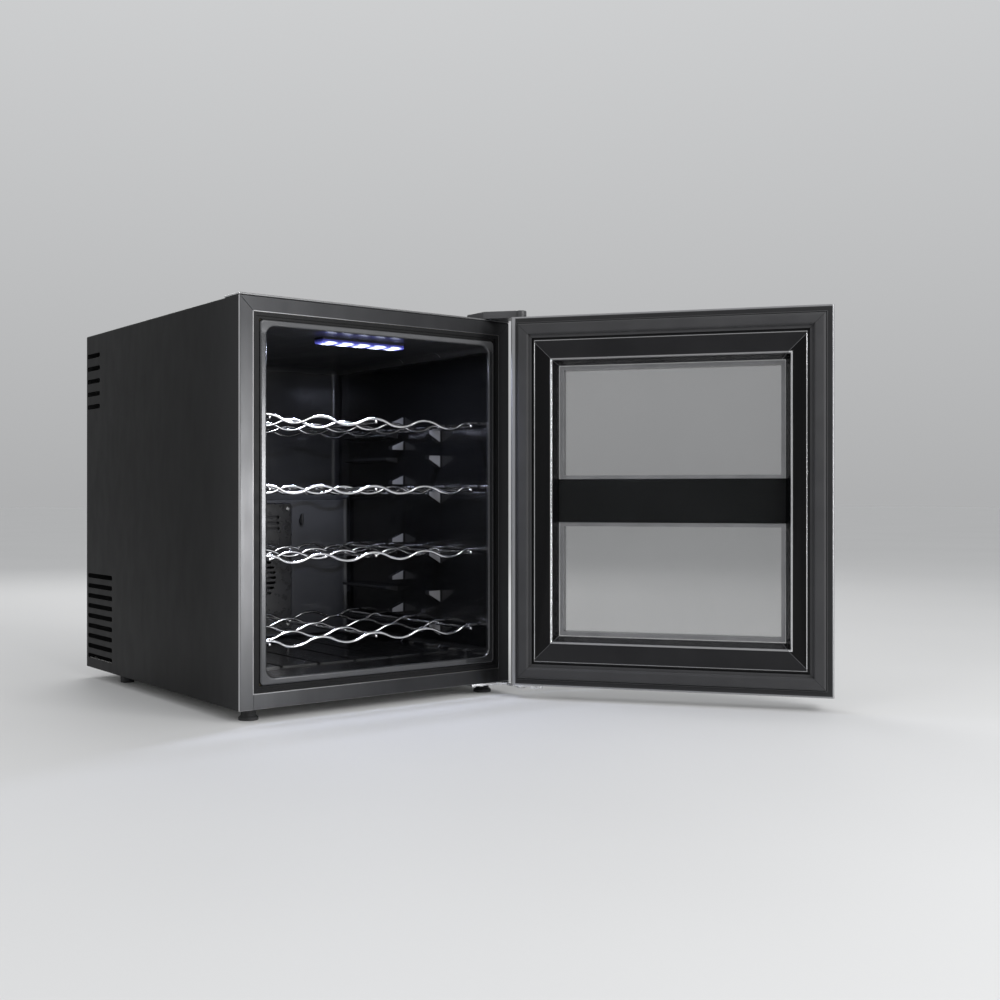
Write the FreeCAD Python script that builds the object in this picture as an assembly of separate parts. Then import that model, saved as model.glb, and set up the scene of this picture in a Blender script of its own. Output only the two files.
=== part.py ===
import FreeCAD, Part
import math
import os

os.makedirs("parts", exist_ok=True)

V = FreeCAD.Vector
X_AXIS, Y_AXIS, Z_AXIS = V(1, 0, 0), V(0, 1, 0), V(0, 0, 1)

# Table-top thermoelectric wine cooler. Millimetres; origin on the floor under the middle of the cabinet,
# +X to the right seen from the front, +Y to the back, +Z up.

# ---- driving dimensions ----
WIDTH, DEPTH, HEIGHT = 425.0, 508.0, 508.0   # cabinet body without feet and door
FOOT_HEIGHT = 16.0
SHEET = 1.0                                  # cabinet sheet steel
FLANGE = 19.5                                # front flange folded round the opening
LINER_WALL = 2.0
LINER_SIDE, LINER_TOP, LINER_BOTTOM = 37.5, 36.0, 37.3   # liner walls, in from the cabinet's outside
LINER_RADIUS = 12.4
LINER_DEPTH = 406.5                          # back wall of the upper compartment
STEP_DEPTH, STEP_HEIGHT = 369.0, 256.0       # the lower back wall steps forward over the cooling unit
DOOR_THICK, DOOR_GAP = 42.0, 8.0
DOOR_FOOT_GAP = 2.5                          # door's lower edge above the cabinet's underside
DOOR_OPEN_ANGLE = 127.1                      # stored pose, from closed
PIN_INSET, PIN_FRONT = 8.0, 35.0             # hinge axis: in from the side, out from the cabinet's front
PIN_RADIUS = 4.0
RUNNING = 0.05                               # radial clearance of a pin in its bush
SHAFT_RADIUS = 1.5                           # fan shafts
SCREW_HOLE = 1.85

# ---- reference planes ----
HALF = WIDTH / 2
FRONT, BACK = -DEPTH / 2, DEPTH / 2
BASE, TOP = FOOT_HEIGHT, FOOT_HEIGHT + HEIGHT
WALL_X = HALF - LINER_SIDE
FLOOR_Z = BASE + LINER_BOTTOM
CEILING_Z = TOP - LINER_TOP
STEP_Y = FRONT + STEP_DEPTH
STEP_Z = BASE + STEP_HEIGHT
LINER_BACK_Y = FRONT + LINER_DEPTH
DOOR_INNER_Y = FRONT - DOOR_GAP
DOOR_OUTER_Y = DOOR_INNER_Y - DOOR_THICK
DOOR_BOTTOM = BASE + DOOR_FOOT_GAP
PIN_X, PIN_Y = HALF - PIN_INSET, FRONT - PIN_FRONT


# ---- helpers ----
def box(x0, x1, y0, y1, z0, z1):
    return Part.makeBox(x1 - x0, y1 - y0, z1 - z0, V(x0, y0, z0))


def cylinder(radius, length, base, axis=Z_AXIS):
    return Part.makeCylinder(radius, length, base, axis)


def tube(outer, inner, length, base, axis=Z_AXIS):
    return cylinder(outer, length, base, axis).cut(cylinder(inner, length, base, axis))


def fuse_all(shapes):
    first, rest = shapes[0], shapes[1:]
    return first.multiFuse(rest).removeSplitter() if rest else first


def cut_all(shape, tools):
    return shape.cut(Part.makeCompound(tools))


def edges_where(shape, test):
    return [e for e in shape.Edges if test(e)]


def runs_along(edge, axis):
    return len(edge.Vertexes) == 2 and abs(edge.tangentAt(edge.FirstParameter).dot(axis)) > 0.999


def rounded_box(x0, x1, y0, y1, z0, z1, radius, axis):
    """A box whose four edges along one axis are rounded."""
    body = box(x0, x1, y0, y1, z0, z1)
    return body.makeFillet(radius, edges_where(body, lambda e: runs_along(e, axis)))


def soft_box(x0, x1, y0, y1, z0, z1, radius):
    body = box(x0, x1, y0, y1, z0, z1)
    return body.makeFillet(radius, body.Edges)


def filled(outline, y0, y1):
    """A slab that faces the front, from an (x0, x1, z0, z1) outline."""
    x0, x1, z0, z1 = outline
    return box(x0, x1, y0, y1, z0, z1)


def rect_ring(outer, inner, y0, y1):
    """A rectangular ring that faces the front, from two such outlines."""
    return filled(outer, y0, y1).cut(filled(inner, y0 - 1, y1 + 1))


def slot_y(x0, x1, y0, y1, z_mid, height):
    """A round-ended slot cutter that runs along Y and passes through a side wall."""
    return rounded_box(x0, x1, y0, y1, z_mid - height / 2, z_mid + height / 2, height * 0.49, X_AXIS)


def slot_x(x0, x1, y0, y1, z_mid, height):
    """A round-ended slot cutter that runs along X and passes through a back wall."""
    return rounded_box(x0, x1, y0, y1, z_mid - height / 2, z_mid + height / 2, height * 0.49, Y_AXIS)


def rotor(centre, outer, hub, depth, blades, shaft_end):
    """A moulded fan rotor about an axis along Y: a hub cap, pitched blades and a shaft to the motor plate."""
    cx, cy, cz = centre
    shaft_low, shaft_high = sorted((cy, shaft_end))
    parts = [cylinder(hub, depth, V(cx, cy - depth / 2, cz), Y_AXIS),
             cylinder(SHAFT_RADIUS, shaft_high - shaft_low, V(cx, shaft_low, cz), Y_AXIS)]
    ring = cylinder(outer, depth, V(cx, cy - depth / 2, cz), Y_AXIS)
    for i in range(blades):
        blade = box(-6.5 * outer / 40, 6.5 * outer / 40, -0.8, 0.8, hub - 1.5, outer + 5)
        blade.rotate(V(0, 0, 0), Z_AXIS, 38)
        blade.rotate(V(0, 0, 0), Y_AXIS, 360 / blades * i)
        blade.translate(V(cx, cy, cz))
        parts.append(blade.common(ring))
    return fuse_all(parts)


def fan_frame(centre, size, bore, depth, hub, strut_y):
    """A square axial-fan housing: round duct, four struts and a motor plate, screw holes in the corners."""
    cx, cy, cz = centre
    half = size / 2
    body = rounded_box(cx - half, cx + half, cy - depth / 2, cy + depth / 2, cz - half, cz + half, 4, Y_AXIS)
    y0, reach = cy - depth / 2 - 1, half - 5
    tools = [cylinder(bore, depth + 2, V(cx, y0, cz), Y_AXIS)]
    for sx in (-reach, reach):
        for sz in (-reach, reach):
            tools.append(cylinder(2.2, depth + 2, V(cx + sx, y0, cz + sz), Y_AXIS))
    body = cut_all(body, tools)
    thick = 2.0
    parts = [body, cylinder(hub, thick, V(cx, strut_y, cz), Y_AXIS)]
    for i in range(4):
        strut = box(-2, 2, 0, thick, hub - 2, bore + 1)
        strut.rotate(V(0, 0, 0), Y_AXIS, 45 + 90 * i)
        strut.translate(V(cx, strut_y, cz))
        parts.append(strut)
    bearing = cylinder(SHAFT_RADIUS + RUNNING, thick + 2, V(cx, strut_y - 1, cz), Y_AXIS)
    return fuse_all(parts).cut(bearing)


def pan_screw(at, axis, head_radius=3.6, head_height=2.2, shank_radius=1.8, length=8.0):
    """A pan-head screw with a cross recess; the head stands out along the axis from the given point."""
    head = cylinder(head_radius, head_height, V(0, 0, 0))
    rim = edges_where(head, lambda e: e.BoundBox.ZMin > head_height - 0.01)
    head = head.makeFillet(head_height * 0.45, rim)
    cross = head_radius * 0.55
    for half_x, half_y in ((cross, 0.4), (0.4, cross)):
        head = head.cut(box(-half_x, half_x, -half_y, half_y, head_height - 1.1, head_height + 1))
    screw = head.fuse(cylinder(shank_radius, length, V(0, 0, -length)))
    screw.Placement = FreeCAD.Placement(at, FreeCAD.Rotation(Z_AXIS, axis))
    return screw


# ---- cabinet ----
VENT_HALF_HEIGHT = 3.5
UPPER_VENTS = [TOP - 32.0 - 19.4 * i for i in range(5)]
LOWER_LOUVRES = [BASE + 18.0 + 15.3 * i for i in range(9)]


def cabinet_shell():
    """Top and two sides folded from one sheet, with the front flange folded in round the opening."""
    outer = box(-HALF, HALF, FRONT, BACK, BASE, TOP)
    long_edges = edges_where(outer, lambda e: runs_along(e, Y_AXIS) and e.BoundBox.ZMin > TOP - 1)
    front_edges = edges_where(outer, lambda e: e.BoundBox.YMax < FRONT + 1 and e.BoundBox.ZMax > BASE + 1)
    outer = outer.makeFillet(2.0, long_edges + front_edges)
    hollow = box(-HALF + SHEET, HALF - SHEET, FRONT + SHEET, BACK + 5, BASE - 5, TOP - SHEET)
    top_edges = edges_where(hollow, lambda e: runs_along(e, Y_AXIS) and e.BoundBox.ZMin > TOP - 2)
    hollow = hollow.makeFillet(1.2, top_edges)
    opening = box(-HALF + FLANGE, HALF - FLANGE, FRONT - 5, FRONT + 5, BASE - 5, TOP - FLANGE)
    shell = outer.cut(hollow).cut(opening)
    tools = []
    for side in (-1, 1):
        wall = sorted((side * (HALF - 4), side * (HALF + 4)))
        for z in UPPER_VENTS:
            tools.append(slot_y(wall[0], wall[1], BACK - 54, BACK - 3, z, 2 * VENT_HALF_HEIGHT))
        for z in LOWER_LOUVRES:
            tools.append(slot_y(wall[0], wall[1], BACK - 102, BACK - 6, z, 2 * VENT_HALF_HEIGHT))
        corner = side * (HALF - FLANGE)
        mitre = box(-1, FLANGE * math.sqrt(2) - 3.5, -3, 3, -0.15, 0.15)
        mitre.rotate(V(0, 0, 0), Y_AXIS, -45 if side > 0 else -135)
        mitre.translate(V(corner, FRONT, TOP - FLANGE))
        tools.append(mitre)
    tools += [cylinder(SCREW_HOLE, 6, V(x, y, TOP - 3)) for x, y in TOP_SCREW_SPOTS]
    return cut_all(shell, tools)


TRIM_DEPTH, TRIM_HEIGHT = 40.0, 2.2


def top_front_trim():
    """Folded strip that stiffens the front of the top and carries the upper hinge."""
    strip = box(-HALF, HALF, FRONT, FRONT + TRIM_DEPTH, TOP, TOP + TRIM_HEIGHT)
    crown = edges_where(strip, lambda e: e.BoundBox.ZMin > TOP + 1)
    strip = strip.makeFillet(0.9, crown)
    return cut_all(strip, [cylinder(SCREW_HOLE, 6, V(x, y, TOP - 1)) for x, y in TOP_SCREW_SPOTS])


FEET = {
    "foot_front_left": (-HALF + 27, FRONT + 28),
    "foot_front_right": (HALF - 27, FRONT + 28),
    "foot_rear_left": (-HALF + 27, FRONT + 414),
    "foot_rear_right": (HALF - 27, FRONT + 414),
}
STUD_RADIUS, STUD_HOLE, STUD_LENGTH = 4.0, 4.06, 20.0
BASE_PLATE = 1.2


def base_panel():
    """Bottom tray with turned-up sides, foot holes and air slots under the cooling unit."""
    inner = HALF - SHEET - 0.1
    plate = box(-inner, inner, FRONT + SHEET + 0.1, BACK - 3.5, BASE, BASE + BASE_PLATE)
    parts = [plate]
    for side in (-1, 1):
        xs = sorted((side * inner, side * (inner - BASE_PLATE)))
        parts.append(box(xs[0], xs[1], FRONT + SHEET + 0.1, BACK - 3.5, BASE, BASE + 15))
    tray = fuse_all(parts)
    tools = [cylinder(STUD_HOLE, 6, V(x, y, BASE - 2)) for x, y in FEET.values()]
    for i in range(7):
        x = -72 + 24 * i
        tools.append(rounded_box(x - 4, x + 4, BACK - 82, BACK - 22, BASE - 2, BASE + 4, 3.9, Z_AXIS))
    tools += [cylinder(SCREW_HOLE, 6, V(x, y, BASE - 2)) for x, y in BOTTOM_SCREW_SPOTS]
    return cut_all(tray, tools)


RAIL_HEIGHT = 19.5


def bottom_front_rail():
    """Lower front rail, butted between the two stiles and turned in over the base."""
    half = HALF - FLANGE - 0.3
    face = box(-half, half, FRONT, FRONT + SHEET, BASE, BASE + RAIL_HEIGHT)
    shelf = box(-half, half, FRONT, FRONT + 18, BASE + BASE_PLATE + 0.1, BASE + BASE_PLATE + 0.1 + SHEET)
    rail = face.fuse(shelf).removeSplitter()
    lower = edges_where(rail, lambda e: runs_along(e, X_AXIS) and e.BoundBox.YMax < FRONT + 0.01
                        and e.BoundBox.ZMax < BASE + 0.01)
    rail = rail.makeFillet(0.6, lower)
    return cut_all(rail, [cylinder(SCREW_HOLE, 8, V(x, y, BASE - 2)) for x, y in BOTTOM_SCREW_SPOTS])


STRIP_OUTER, STRIP_STEP, STRIP_INNER = 19.8, 24.3, 28.0


def inset_outline(inset):
    return (-HALF + inset, HALF - inset, BASE + inset, TOP - inset)


def breaker_strip():
    """Stepped plastic profile between the painted flange and the liner; it stops heat crossing the front."""
    back = FRONT + 7.5
    high = rect_ring(inset_outline(STRIP_OUTER), inset_outline(STRIP_STEP), FRONT + 0.4, back)
    low = rect_ring(inset_outline(STRIP_STEP), inset_outline(STRIP_INNER), FRONT + 1.6, back)
    return high.fuse(low).removeSplitter()


# ---- liner ----
LIP_OUTER = 28.4
SUPPORT_TOPS = [73.5, 123.0, 180.3, 268.7, 321.5, 358.5]     # above the underside; six levels, four in use
HOLD_DOWN_GAP = 11.5
LUG_REACH, LUG_ROOT, LUG_TIP = 22.0, 18.0, 5.0
FRONT_LUG = (112.0, 122.0)
HOLD_DOWN_LUG = (208.0, 218.0)
LEDGE = (225.0, 350.0)
POCKET_HALF, POCKET_Z, POCKET_DEPTH = 60.0, BASE + 134.0, 28.0
MODULE_HALF = 20.0


def tub(half_x, y0, y1, z0, z1, radius):
    """A round-cornered block whose back edge is rounded too."""
    body = rounded_box(-half_x, half_x, y0, y1, z0, z1, radius, Y_AXIS)
    return body.makeFillet(radius - 1, edges_where(body, lambda e: e.BoundBox.YMin > y1 - 0.01))


def compartment(grow):
    """The compartment's space, or its outside when grown by the wall thickness."""
    x, low, high, radius = WALL_X + grow, FLOOR_Z - grow, CEILING_Z + grow, LINER_RADIUS + grow
    front = FRONT + 1.0
    lower = tub(x, front, STEP_Y + grow, low, high, radius)
    upper = tub(x, front, LINER_BACK_Y + grow, STEP_Z - grow, high, radius)
    half = POCKET_HALF + grow
    pocket = rounded_box(-half, half, STEP_Y - 20, STEP_Y + POCKET_DEPTH + grow,
                         POCKET_Z - half, POCKET_Z + half, 6 + grow, Y_AXIS)
    return fuse_all([lower, upper, pocket])


def lug(side, depth_range, top, root, tip, flip):
    """A gusset on a side wall: flat on one face, sloping on the other, thin at its tip."""
    wall = side * (WALL_X + 0.5)
    edge = side * (WALL_X - LUG_REACH)
    sign = 1 if flip else -1
    points = [V(wall, 0, 0), V(edge, 0, 0), V(edge, 0, sign * tip), V(wall, 0, sign * root), V(wall, 0, 0)]
    face = Part.Face(Part.makePolygon(points))
    body = face.extrude(V(0, depth_range[1] - depth_range[0], 0))
    body.translate(V(0, FRONT + depth_range[0], BASE + top))
    return body


def liner_lip():
    """The rolled edge round the compartment's mouth."""
    outer = inset_outline(LIP_OUTER)
    solid = rounded_box(outer[0], outer[1], FRONT - 0.6, FRONT + 4.4, outer[2], outer[3], 6, Y_AXIS)
    crown = edges_where(solid, lambda e: e.BoundBox.YMax < FRONT - 0.59)
    solid = solid.makeFillet(2.4, crown)
    mouth = rounded_box(-WALL_X, WALL_X, FRONT - 5, FRONT + 8, FLOOR_Z, CEILING_Z, LINER_RADIUS, Y_AXIS)
    lip = solid.cut(mouth)
    inner = edges_where(lip, lambda e: e.BoundBox.YMax < FRONT - 0.59 and abs(e.BoundBox.XMax) < WALL_X + 0.5
                        and e.BoundBox.ZMin > FLOOR_Z - 0.5 and e.BoundBox.ZMax < CEILING_Z + 0.5)
    return lip.makeFillet(2.0, inner)


def floor_pads():
    """Raised pads on the compartment's floor, with drain grooves between them."""
    pads, pitch = [], 57.0
    for i in range(6):
        x0 = -WALL_X + 6 if i == 0 else (i - 3) * pitch + 2.5
        x1 = WALL_X - 6 if i == 5 else (i - 2) * pitch - 2.5
        pads.append(box(x0, x1, FRONT + 73, STEP_Y - 14, FLOOR_Z - 0.5, FLOOR_Z + 1.8))
    return pads


def inner_liner():
    """One vacuum-formed tub: walls, stepped back, pocket for the cold sink, shelf lugs, lip and floor pads."""
    liner = fuse_all([compartment(LINER_WALL), liner_lip()]).cut(compartment(0))
    additions = floor_pads()
    for side in (-1, 1):
        for top in SUPPORT_TOPS:
            additions.append(lug(side, FRONT_LUG, top, LUG_ROOT, LUG_TIP, False))
            additions.append(lug(side, HOLD_DOWN_LUG, top + HOLD_DOWN_GAP, LUG_ROOT - 4, LUG_TIP, True))
            additions.append(lug(side, LEDGE, top, 8.0, 4.0, False))
    liner = fuse_all([liner] + additions)
    window = box(-MODULE_HALF - 2, MODULE_HALF + 2, STEP_Y + POCKET_DEPTH - 2, STEP_Y + POCKET_DEPTH + 6,
                 POCKET_Z - MODULE_HALF - 10, POCKET_Z + MODULE_HALF + 10)
    mouth = rounded_box(-WALL_X, WALL_X, FRONT - 5, FRONT + 3, FLOOR_Z, CEILING_Z, LINER_RADIUS, Y_AXIS)
    screw_holes = [cylinder(SCREW_HOLE, 12, V(x, STEP_Y - 2, z), Y_AXIS) for x, z in COVER_SCREWS]
    lamp_hole = cylinder(4, 12, V(0, LAMP_Y, CEILING_Z - 3))
    return cut_all(liner, [window, mouth, lamp_hole] + screw_holes)


# ---- insulation and rear ----
FOAM_FRONT = FRONT + 8.0
PLENUM_LOW_Y, PLENUM_HIGH_Y = 150.0, 193.0
PLENUM_SHELF_Z = STEP_Z - LINER_WALL - 32.0
SINK_HALF_X, SINK_HALF_Z = 60.0, 70.0


def insulation_foam():
    """Foam that fills the cabinet round the liner, with a recess for the cooling unit behind the step."""
    x, low, high = HALF - SHEET - BASE_PLATE - 0.3, BASE + BASE_PLATE + 0.2, TOP - SHEET - 0.1
    block = box(-x, x, FOAM_FRONT, PLENUM_HIGH_Y - 0.1, low, high)
    block = block.cut(box(-x - 1, x + 1, PLENUM_LOW_Y - 0.1, PLENUM_HIGH_Y + 1, low - 1, PLENUM_SHELF_Z + 1.1))
    rail_clear = box(-x, x, FRONT, FRONT + 18.2, low - 1, low + SHEET + 0.2)
    screws = [cylinder(2.2, 24, V(x0, STEP_Y - 2, z), Y_AXIS) for x0, z in COVER_SCREWS]
    studs = [cylinder(4.5, STUD_LENGTH, V(x0, y, low - 2)) for x0, y in FEET.values()]
    block = cut_all(block, [rail_clear] + screws + studs)
    block = block.cut(compartment(LINER_WALL + 0.1))
    half_x, half_z = SINK_HALF_X + 1.5, SINK_HALF_Z + 1.5
    tools = [box(-half_x, half_x, STEP_Y + POCKET_DEPTH + LINER_WALL, PLENUM_LOW_Y + 1,
                 POCKET_Z - half_z, POCKET_Z + half_z),
             cylinder(4.2, 10, V(0, LAMP_Y, CEILING_Z))]
    tools += [cylinder(2.4, 12, V(x0, y, TOP - 10)) for x0, y in TOP_SCREW_SPOTS]
    tools += [cylinder(2.4, 14, V(x0, y, BASE)) for x0, y in BOTTOM_SCREW_SPOTS]
    return cut_all(block, tools)


def rear_bulkhead():
    """Folded sheet behind the foam: the wall of the air shaft, with a window for the module."""
    x = HALF - SHEET - BASE_PLATE - 0.4
    low, high = BASE + BASE_PLATE + 0.1, TOP - SHEET - 0.1
    lower = box(-x, x, PLENUM_LOW_Y, PLENUM_LOW_Y + SHEET, low, PLENUM_SHELF_Z + SHEET)
    shelf = box(-x, x, PLENUM_LOW_Y, PLENUM_HIGH_Y + SHEET, PLENUM_SHELF_Z, PLENUM_SHELF_Z + SHEET)
    upper = box(-x, x, PLENUM_HIGH_Y, PLENUM_HIGH_Y + SHEET, PLENUM_SHELF_Z, high)
    sheet = fuse_all([lower, shelf, upper])
    half_x, half_z = SINK_HALF_X + 1.5, SINK_HALF_Z + 1.5
    return sheet.cut(box(-half_x, half_x, PLENUM_LOW_Y - 5, PLENUM_LOW_Y + 5,
                         POCKET_Z - half_z, POCKET_Z + half_z))


REAR_SCREW_HEIGHTS = [BASE + 12, BASE + 174, BASE + 336, TOP - 12]
REAR_COVER_SCREWS = [(side * (HALF - 12), z) for side in (-1, 1) for z in REAR_SCREW_HEIGHTS]
REAR_Y = BACK - 3.0
INLET_X, INLET_Z = 150.0, BASE + 60.0


def rear_cover():
    """Rear sheet with rows of air slots behind the fan and at the top, and a cut-out for the mains inlet."""
    x = HALF - SHEET - 0.2
    plate = rounded_box(-x, x, REAR_Y, REAR_Y + SHEET, BASE + 0.3, TOP - SHEET - 0.2, 1.5, Y_AXIS)
    tools = []
    for i in range(13):
        z = POCKET_Z - 60 + 10 * i
        half = math.sqrt(max(62.0 ** 2 - (z - POCKET_Z) ** 2, 14.0 ** 2))
        tools.append(slot_x(-half, half, REAR_Y - 3, REAR_Y + 4, z, 5.0))
    for i in range(8):
        z = TOP - 40 - 12 * i
        for x0 in (-150.0, -45.0, 60.0):
            tools.append(slot_x(x0, x0 + 90.0, REAR_Y - 3, REAR_Y + 4, z, 5.0))
    tools += [cylinder(1.9, 6, V(sx, REAR_Y - 2, z), Y_AXIS) for sx, z in REAR_COVER_SCREWS]
    tools.append(rounded_box(INLET_X - 14.2, INLET_X + 14.2, REAR_Y - 3, REAR_Y + 4,
                             INLET_Z - 10.7, INLET_Z + 10.7, 2.5, Y_AXIS))
    return cut_all(plate, tools)


def rear_cover_screws():
    return Part.makeCompound([pan_screw(V(x, REAR_Y + SHEET + 0.02, z), Y_AXIS, head_height=1.9, length=5)
                              for x, z in REAR_COVER_SCREWS])


def foot(name):
    """Front feet are adjustable, with a flared sole; rear feet are plain."""
    x, y = FEET[name]
    front = "front" in name
    if front:
        outline = [(0, 0), (12.5, 0), (12.5, 3), (9.5, 6), (9.5, 15.7), (0, 15.7), (0, 0)]
    else:
        outline = [(0, 0), (9.2, 0), (10, 1), (10, 15.9), (0, 15.9), (0, 0)]
    profile = Part.makePolygon([V(r, 0, z) for r, z in outline])
    body = Part.Face(profile).revolve(V(0, 0, 0), Z_AXIS, 360)
    if front:
        grip = [cylinder(1.2, 5.5, V(10.3 * math.cos(a), 10.3 * math.sin(a), 8.5))
                for a in [math.radians(30 * i) for i in range(12)]]
        body = cut_all(body, grip)
    stud = cylinder(STUD_RADIUS, STUD_LENGTH - 1.0, V(0, 0, 15))
    body = body.fuse(stud).removeSplitter()
    body.translate(V(x, y, 0))
    return body


# ---- cooling unit ----
COVER_FACE_Y = STEP_Y - 6.0
COVER_X, COVER_Z0, COVER_Z1 = 66.5, FLOOR_Z + 14, STEP_Z - 5.0
COVER_SCREWS = [(sx * 58.0, z) for sx in (-1, 1) for z in (COVER_Z0 + 9, COVER_Z1 - 9)]
COLD_FAN_Y = STEP_Y + 4.5
COLD_SINK_BACK = STEP_Y + POCKET_DEPTH - 1.0


def cold_fan_cover():
    """Dished plastic cover on the step: a round grille in front of the fan and air slots above it."""
    shell = rounded_box(-COVER_X, COVER_X, COVER_FACE_Y, STEP_Y, COVER_Z0, COVER_Z1, 5, Y_AXIS)
    crown = edges_where(shell, lambda e: e.BoundBox.YMax < COVER_FACE_Y + 0.01)
    shell = shell.makeFillet(2.0, crown)
    inside = COVER_X - 2
    shell = shell.cut(rounded_box(-inside, inside, COVER_FACE_Y + 2, STEP_Y + 1,
                                  COVER_Z0 + 2, COVER_Z1 - 2, 3, Y_AXIS))
    post_y, post_long = COVER_FACE_Y + 1, STEP_Y - COVER_FACE_Y - 1
    shell = fuse_all([shell] + [cylinder(4.5, post_long, V(x, post_y, z), Y_AXIS) for x, z in COVER_SCREWS])
    tools = []
    for i in range(9):
        z = POCKET_Z - 32 + 8 * i
        half = math.sqrt(38.0 ** 2 - (z - POCKET_Z) ** 2)
        tools.append(slot_x(-half, half, COVER_FACE_Y - 2, COVER_FACE_Y + 4, z, 4.0))
    for i in range(3):
        tools.append(slot_x(-44, 44, COVER_FACE_Y - 2, COVER_FACE_Y + 4, COVER_Z1 - 22 - 9 * i, 4.0))
    tools += [cylinder(SCREW_HOLE, 20, V(x, COVER_FACE_Y - 5, z), Y_AXIS) for x, z in COVER_SCREWS]
    return cut_all(shell, tools)


def cover_screws():
    return Part.makeCompound([pan_screw(V(x, COVER_FACE_Y - 0.02, z), V(0, -1, 0), head_radius=3.2, length=9)
                              for x, z in COVER_SCREWS])


def cold_fan_frame():
    return fan_frame((0, COLD_FAN_Y, POCKET_Z), 92.0, 43.0, 12.0, 17.0, COLD_FAN_Y + 4.0)


def cold_fan_rotor():
    return rotor((0, COLD_FAN_Y - 1.5, POCKET_Z), 41.0, 16.0, 8.0, 7, COLD_FAN_Y + 5.8)


def finned_sink(half_x, half_z, base0, base1, fin_end, count):
    """An extruded sink: a base plate and upright fins; fin_end is the fins' far face along Y."""
    base = box(-half_x, half_x, base0, base1, POCKET_Z - half_z, POCKET_Z + half_z)
    fins = []
    for i in range(count):
        x = -half_x + 0.8 + (2 * half_x - 1.6) * i / (count - 1)
        ys = sorted((base0 if fin_end > base0 else base1, fin_end))
        fins.append(box(x - 0.8, x + 0.8, ys[0], ys[1], POCKET_Z - half_z, POCKET_Z + half_z))
    return fuse_all([base] + fins)


def cold_sink():
    return finned_sink(48.0, 48.0, COLD_SINK_BACK - 4.0, COLD_SINK_BACK, COLD_FAN_Y + 7.0, 17)


MODULE_THICK = 4.0


def thermoelectric_module():
    """Two ceramic plates with the pellet layer between them, and two lead stubs."""
    y0 = COLD_SINK_BACK
    h = MODULE_HALF
    plates = [box(-h, h, y0, y0 + 1.0, POCKET_Z - h, POCKET_Z + h),
              box(-h, h, y0 + 3.0, y0 + MODULE_THICK, POCKET_Z - h, POCKET_Z + h)]
    pellets = [box(-h + 1 + 4.8 * i, -h + 4 + 4.8 * i, y0 + 1.0, y0 + 3.0,
                   POCKET_Z - h + 1 + 4.8 * j, POCKET_Z - h + 4 + 4.8 * j) for i in range(8) for j in range(8)]
    return fuse_all(plates + pellets)


HOT_BASE_Y = COLD_SINK_BACK + MODULE_THICK
HOT_FAN_Y = HOT_BASE_Y + 50.0
HOT_BASE_THICK, HOT_FIN_REACH = 6.0, 36.0
SINK_BOLTS = [(0.0, POCKET_Z - 25.0), (0.0, POCKET_Z + 25.0)]


def hot_sink():
    """Extruded sink on the hot side, bored for the clamp bolts and cleared round their heads."""
    seat_y = HOT_BASE_Y + HOT_BASE_THICK
    sink = finned_sink(SINK_HALF_X, SINK_HALF_Z, HOT_BASE_Y, seat_y, HOT_BASE_Y + HOT_FIN_REACH, 21)
    tools = [cylinder(2.1, 12, V(x, HOT_BASE_Y - 3, z), Y_AXIS) for x, z in SINK_BOLTS]
    tools += [cylinder(4.6, HOT_FIN_REACH, V(x, seat_y, z), Y_AXIS) for x, z in SINK_BOLTS]
    return cut_all(sink, tools)


def sink_bolts():
    """Two bolts that clamp the sinks together through the insulation."""
    bolts = []
    for x, z in SINK_BOLTS:
        shank = cylinder(1.8, MODULE_THICK + HOT_BASE_THICK + 1.0, V(x, HOT_BASE_Y - MODULE_THICK, z), Y_AXIS)
        head = cylinder(3.6, 3.0, V(x, HOT_BASE_Y + HOT_BASE_THICK + 0.02, z), Y_AXIS)
        bolts.append(shank.fuse(head).removeSplitter())
    return Part.makeCompound(bolts)


def hot_fan_frame():
    return fan_frame((0, HOT_FAN_Y, POCKET_Z), 120.0, 57.5, 25.0, 21.0, HOT_FAN_Y - 12.5)


def hot_fan_rotor():
    return rotor((0, HOT_FAN_Y + 1.0, POCKET_Z), 55.0, 20.0, 18.0, 9, HOT_FAN_Y - 12.0)


POWER_Z0, POWER_Z1 = BASE + 290.0, BASE + 450.0
POWER_Y = PLENUM_HIGH_Y + SHEET + 8.0


def power_board():
    """Supply board on four stand-offs in the air shaft."""
    board = box(-105, 105, POWER_Y, POWER_Y + 1.6, POWER_Z0, POWER_Z1)
    corners = [(sx * 98.0, z) for sx in (-1, 1) for z in (POWER_Z0 + 8, POWER_Z1 - 8)]
    posts = [cylinder(3.5, 8.0, V(x, POWER_Y - 8.0, z), Y_AXIS) for x, z in corners]
    return fuse_all([board] + posts)


def power_components():
    """Transformer, capacitors, heat-sink bar and connectors on the supply board."""
    y = POWER_Y + 1.6
    zc = (POWER_Z0 + POWER_Z1) / 2
    items = [soft_box(-35, 5, y, y + 30, zc - 18, zc + 22, 1.5),
             box(20, 26, y, y + 28, zc - 60, zc + 50),
             box(-95, -70, y, y + 14, zc - 60, zc - 30),
             box(60, 92, y, y + 12, zc + 40, zc + 60)]
    for x, dz, radius, height in ((-60, 20, 9, 26), (-60, 45, 9, 26), (50, -20, 11, 24), (76, -20, 11, 24)):
        items.append(cylinder(radius, height, V(x, y, zc + dz), Y_AXIS))
    return Part.makeCompound(items)


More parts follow.
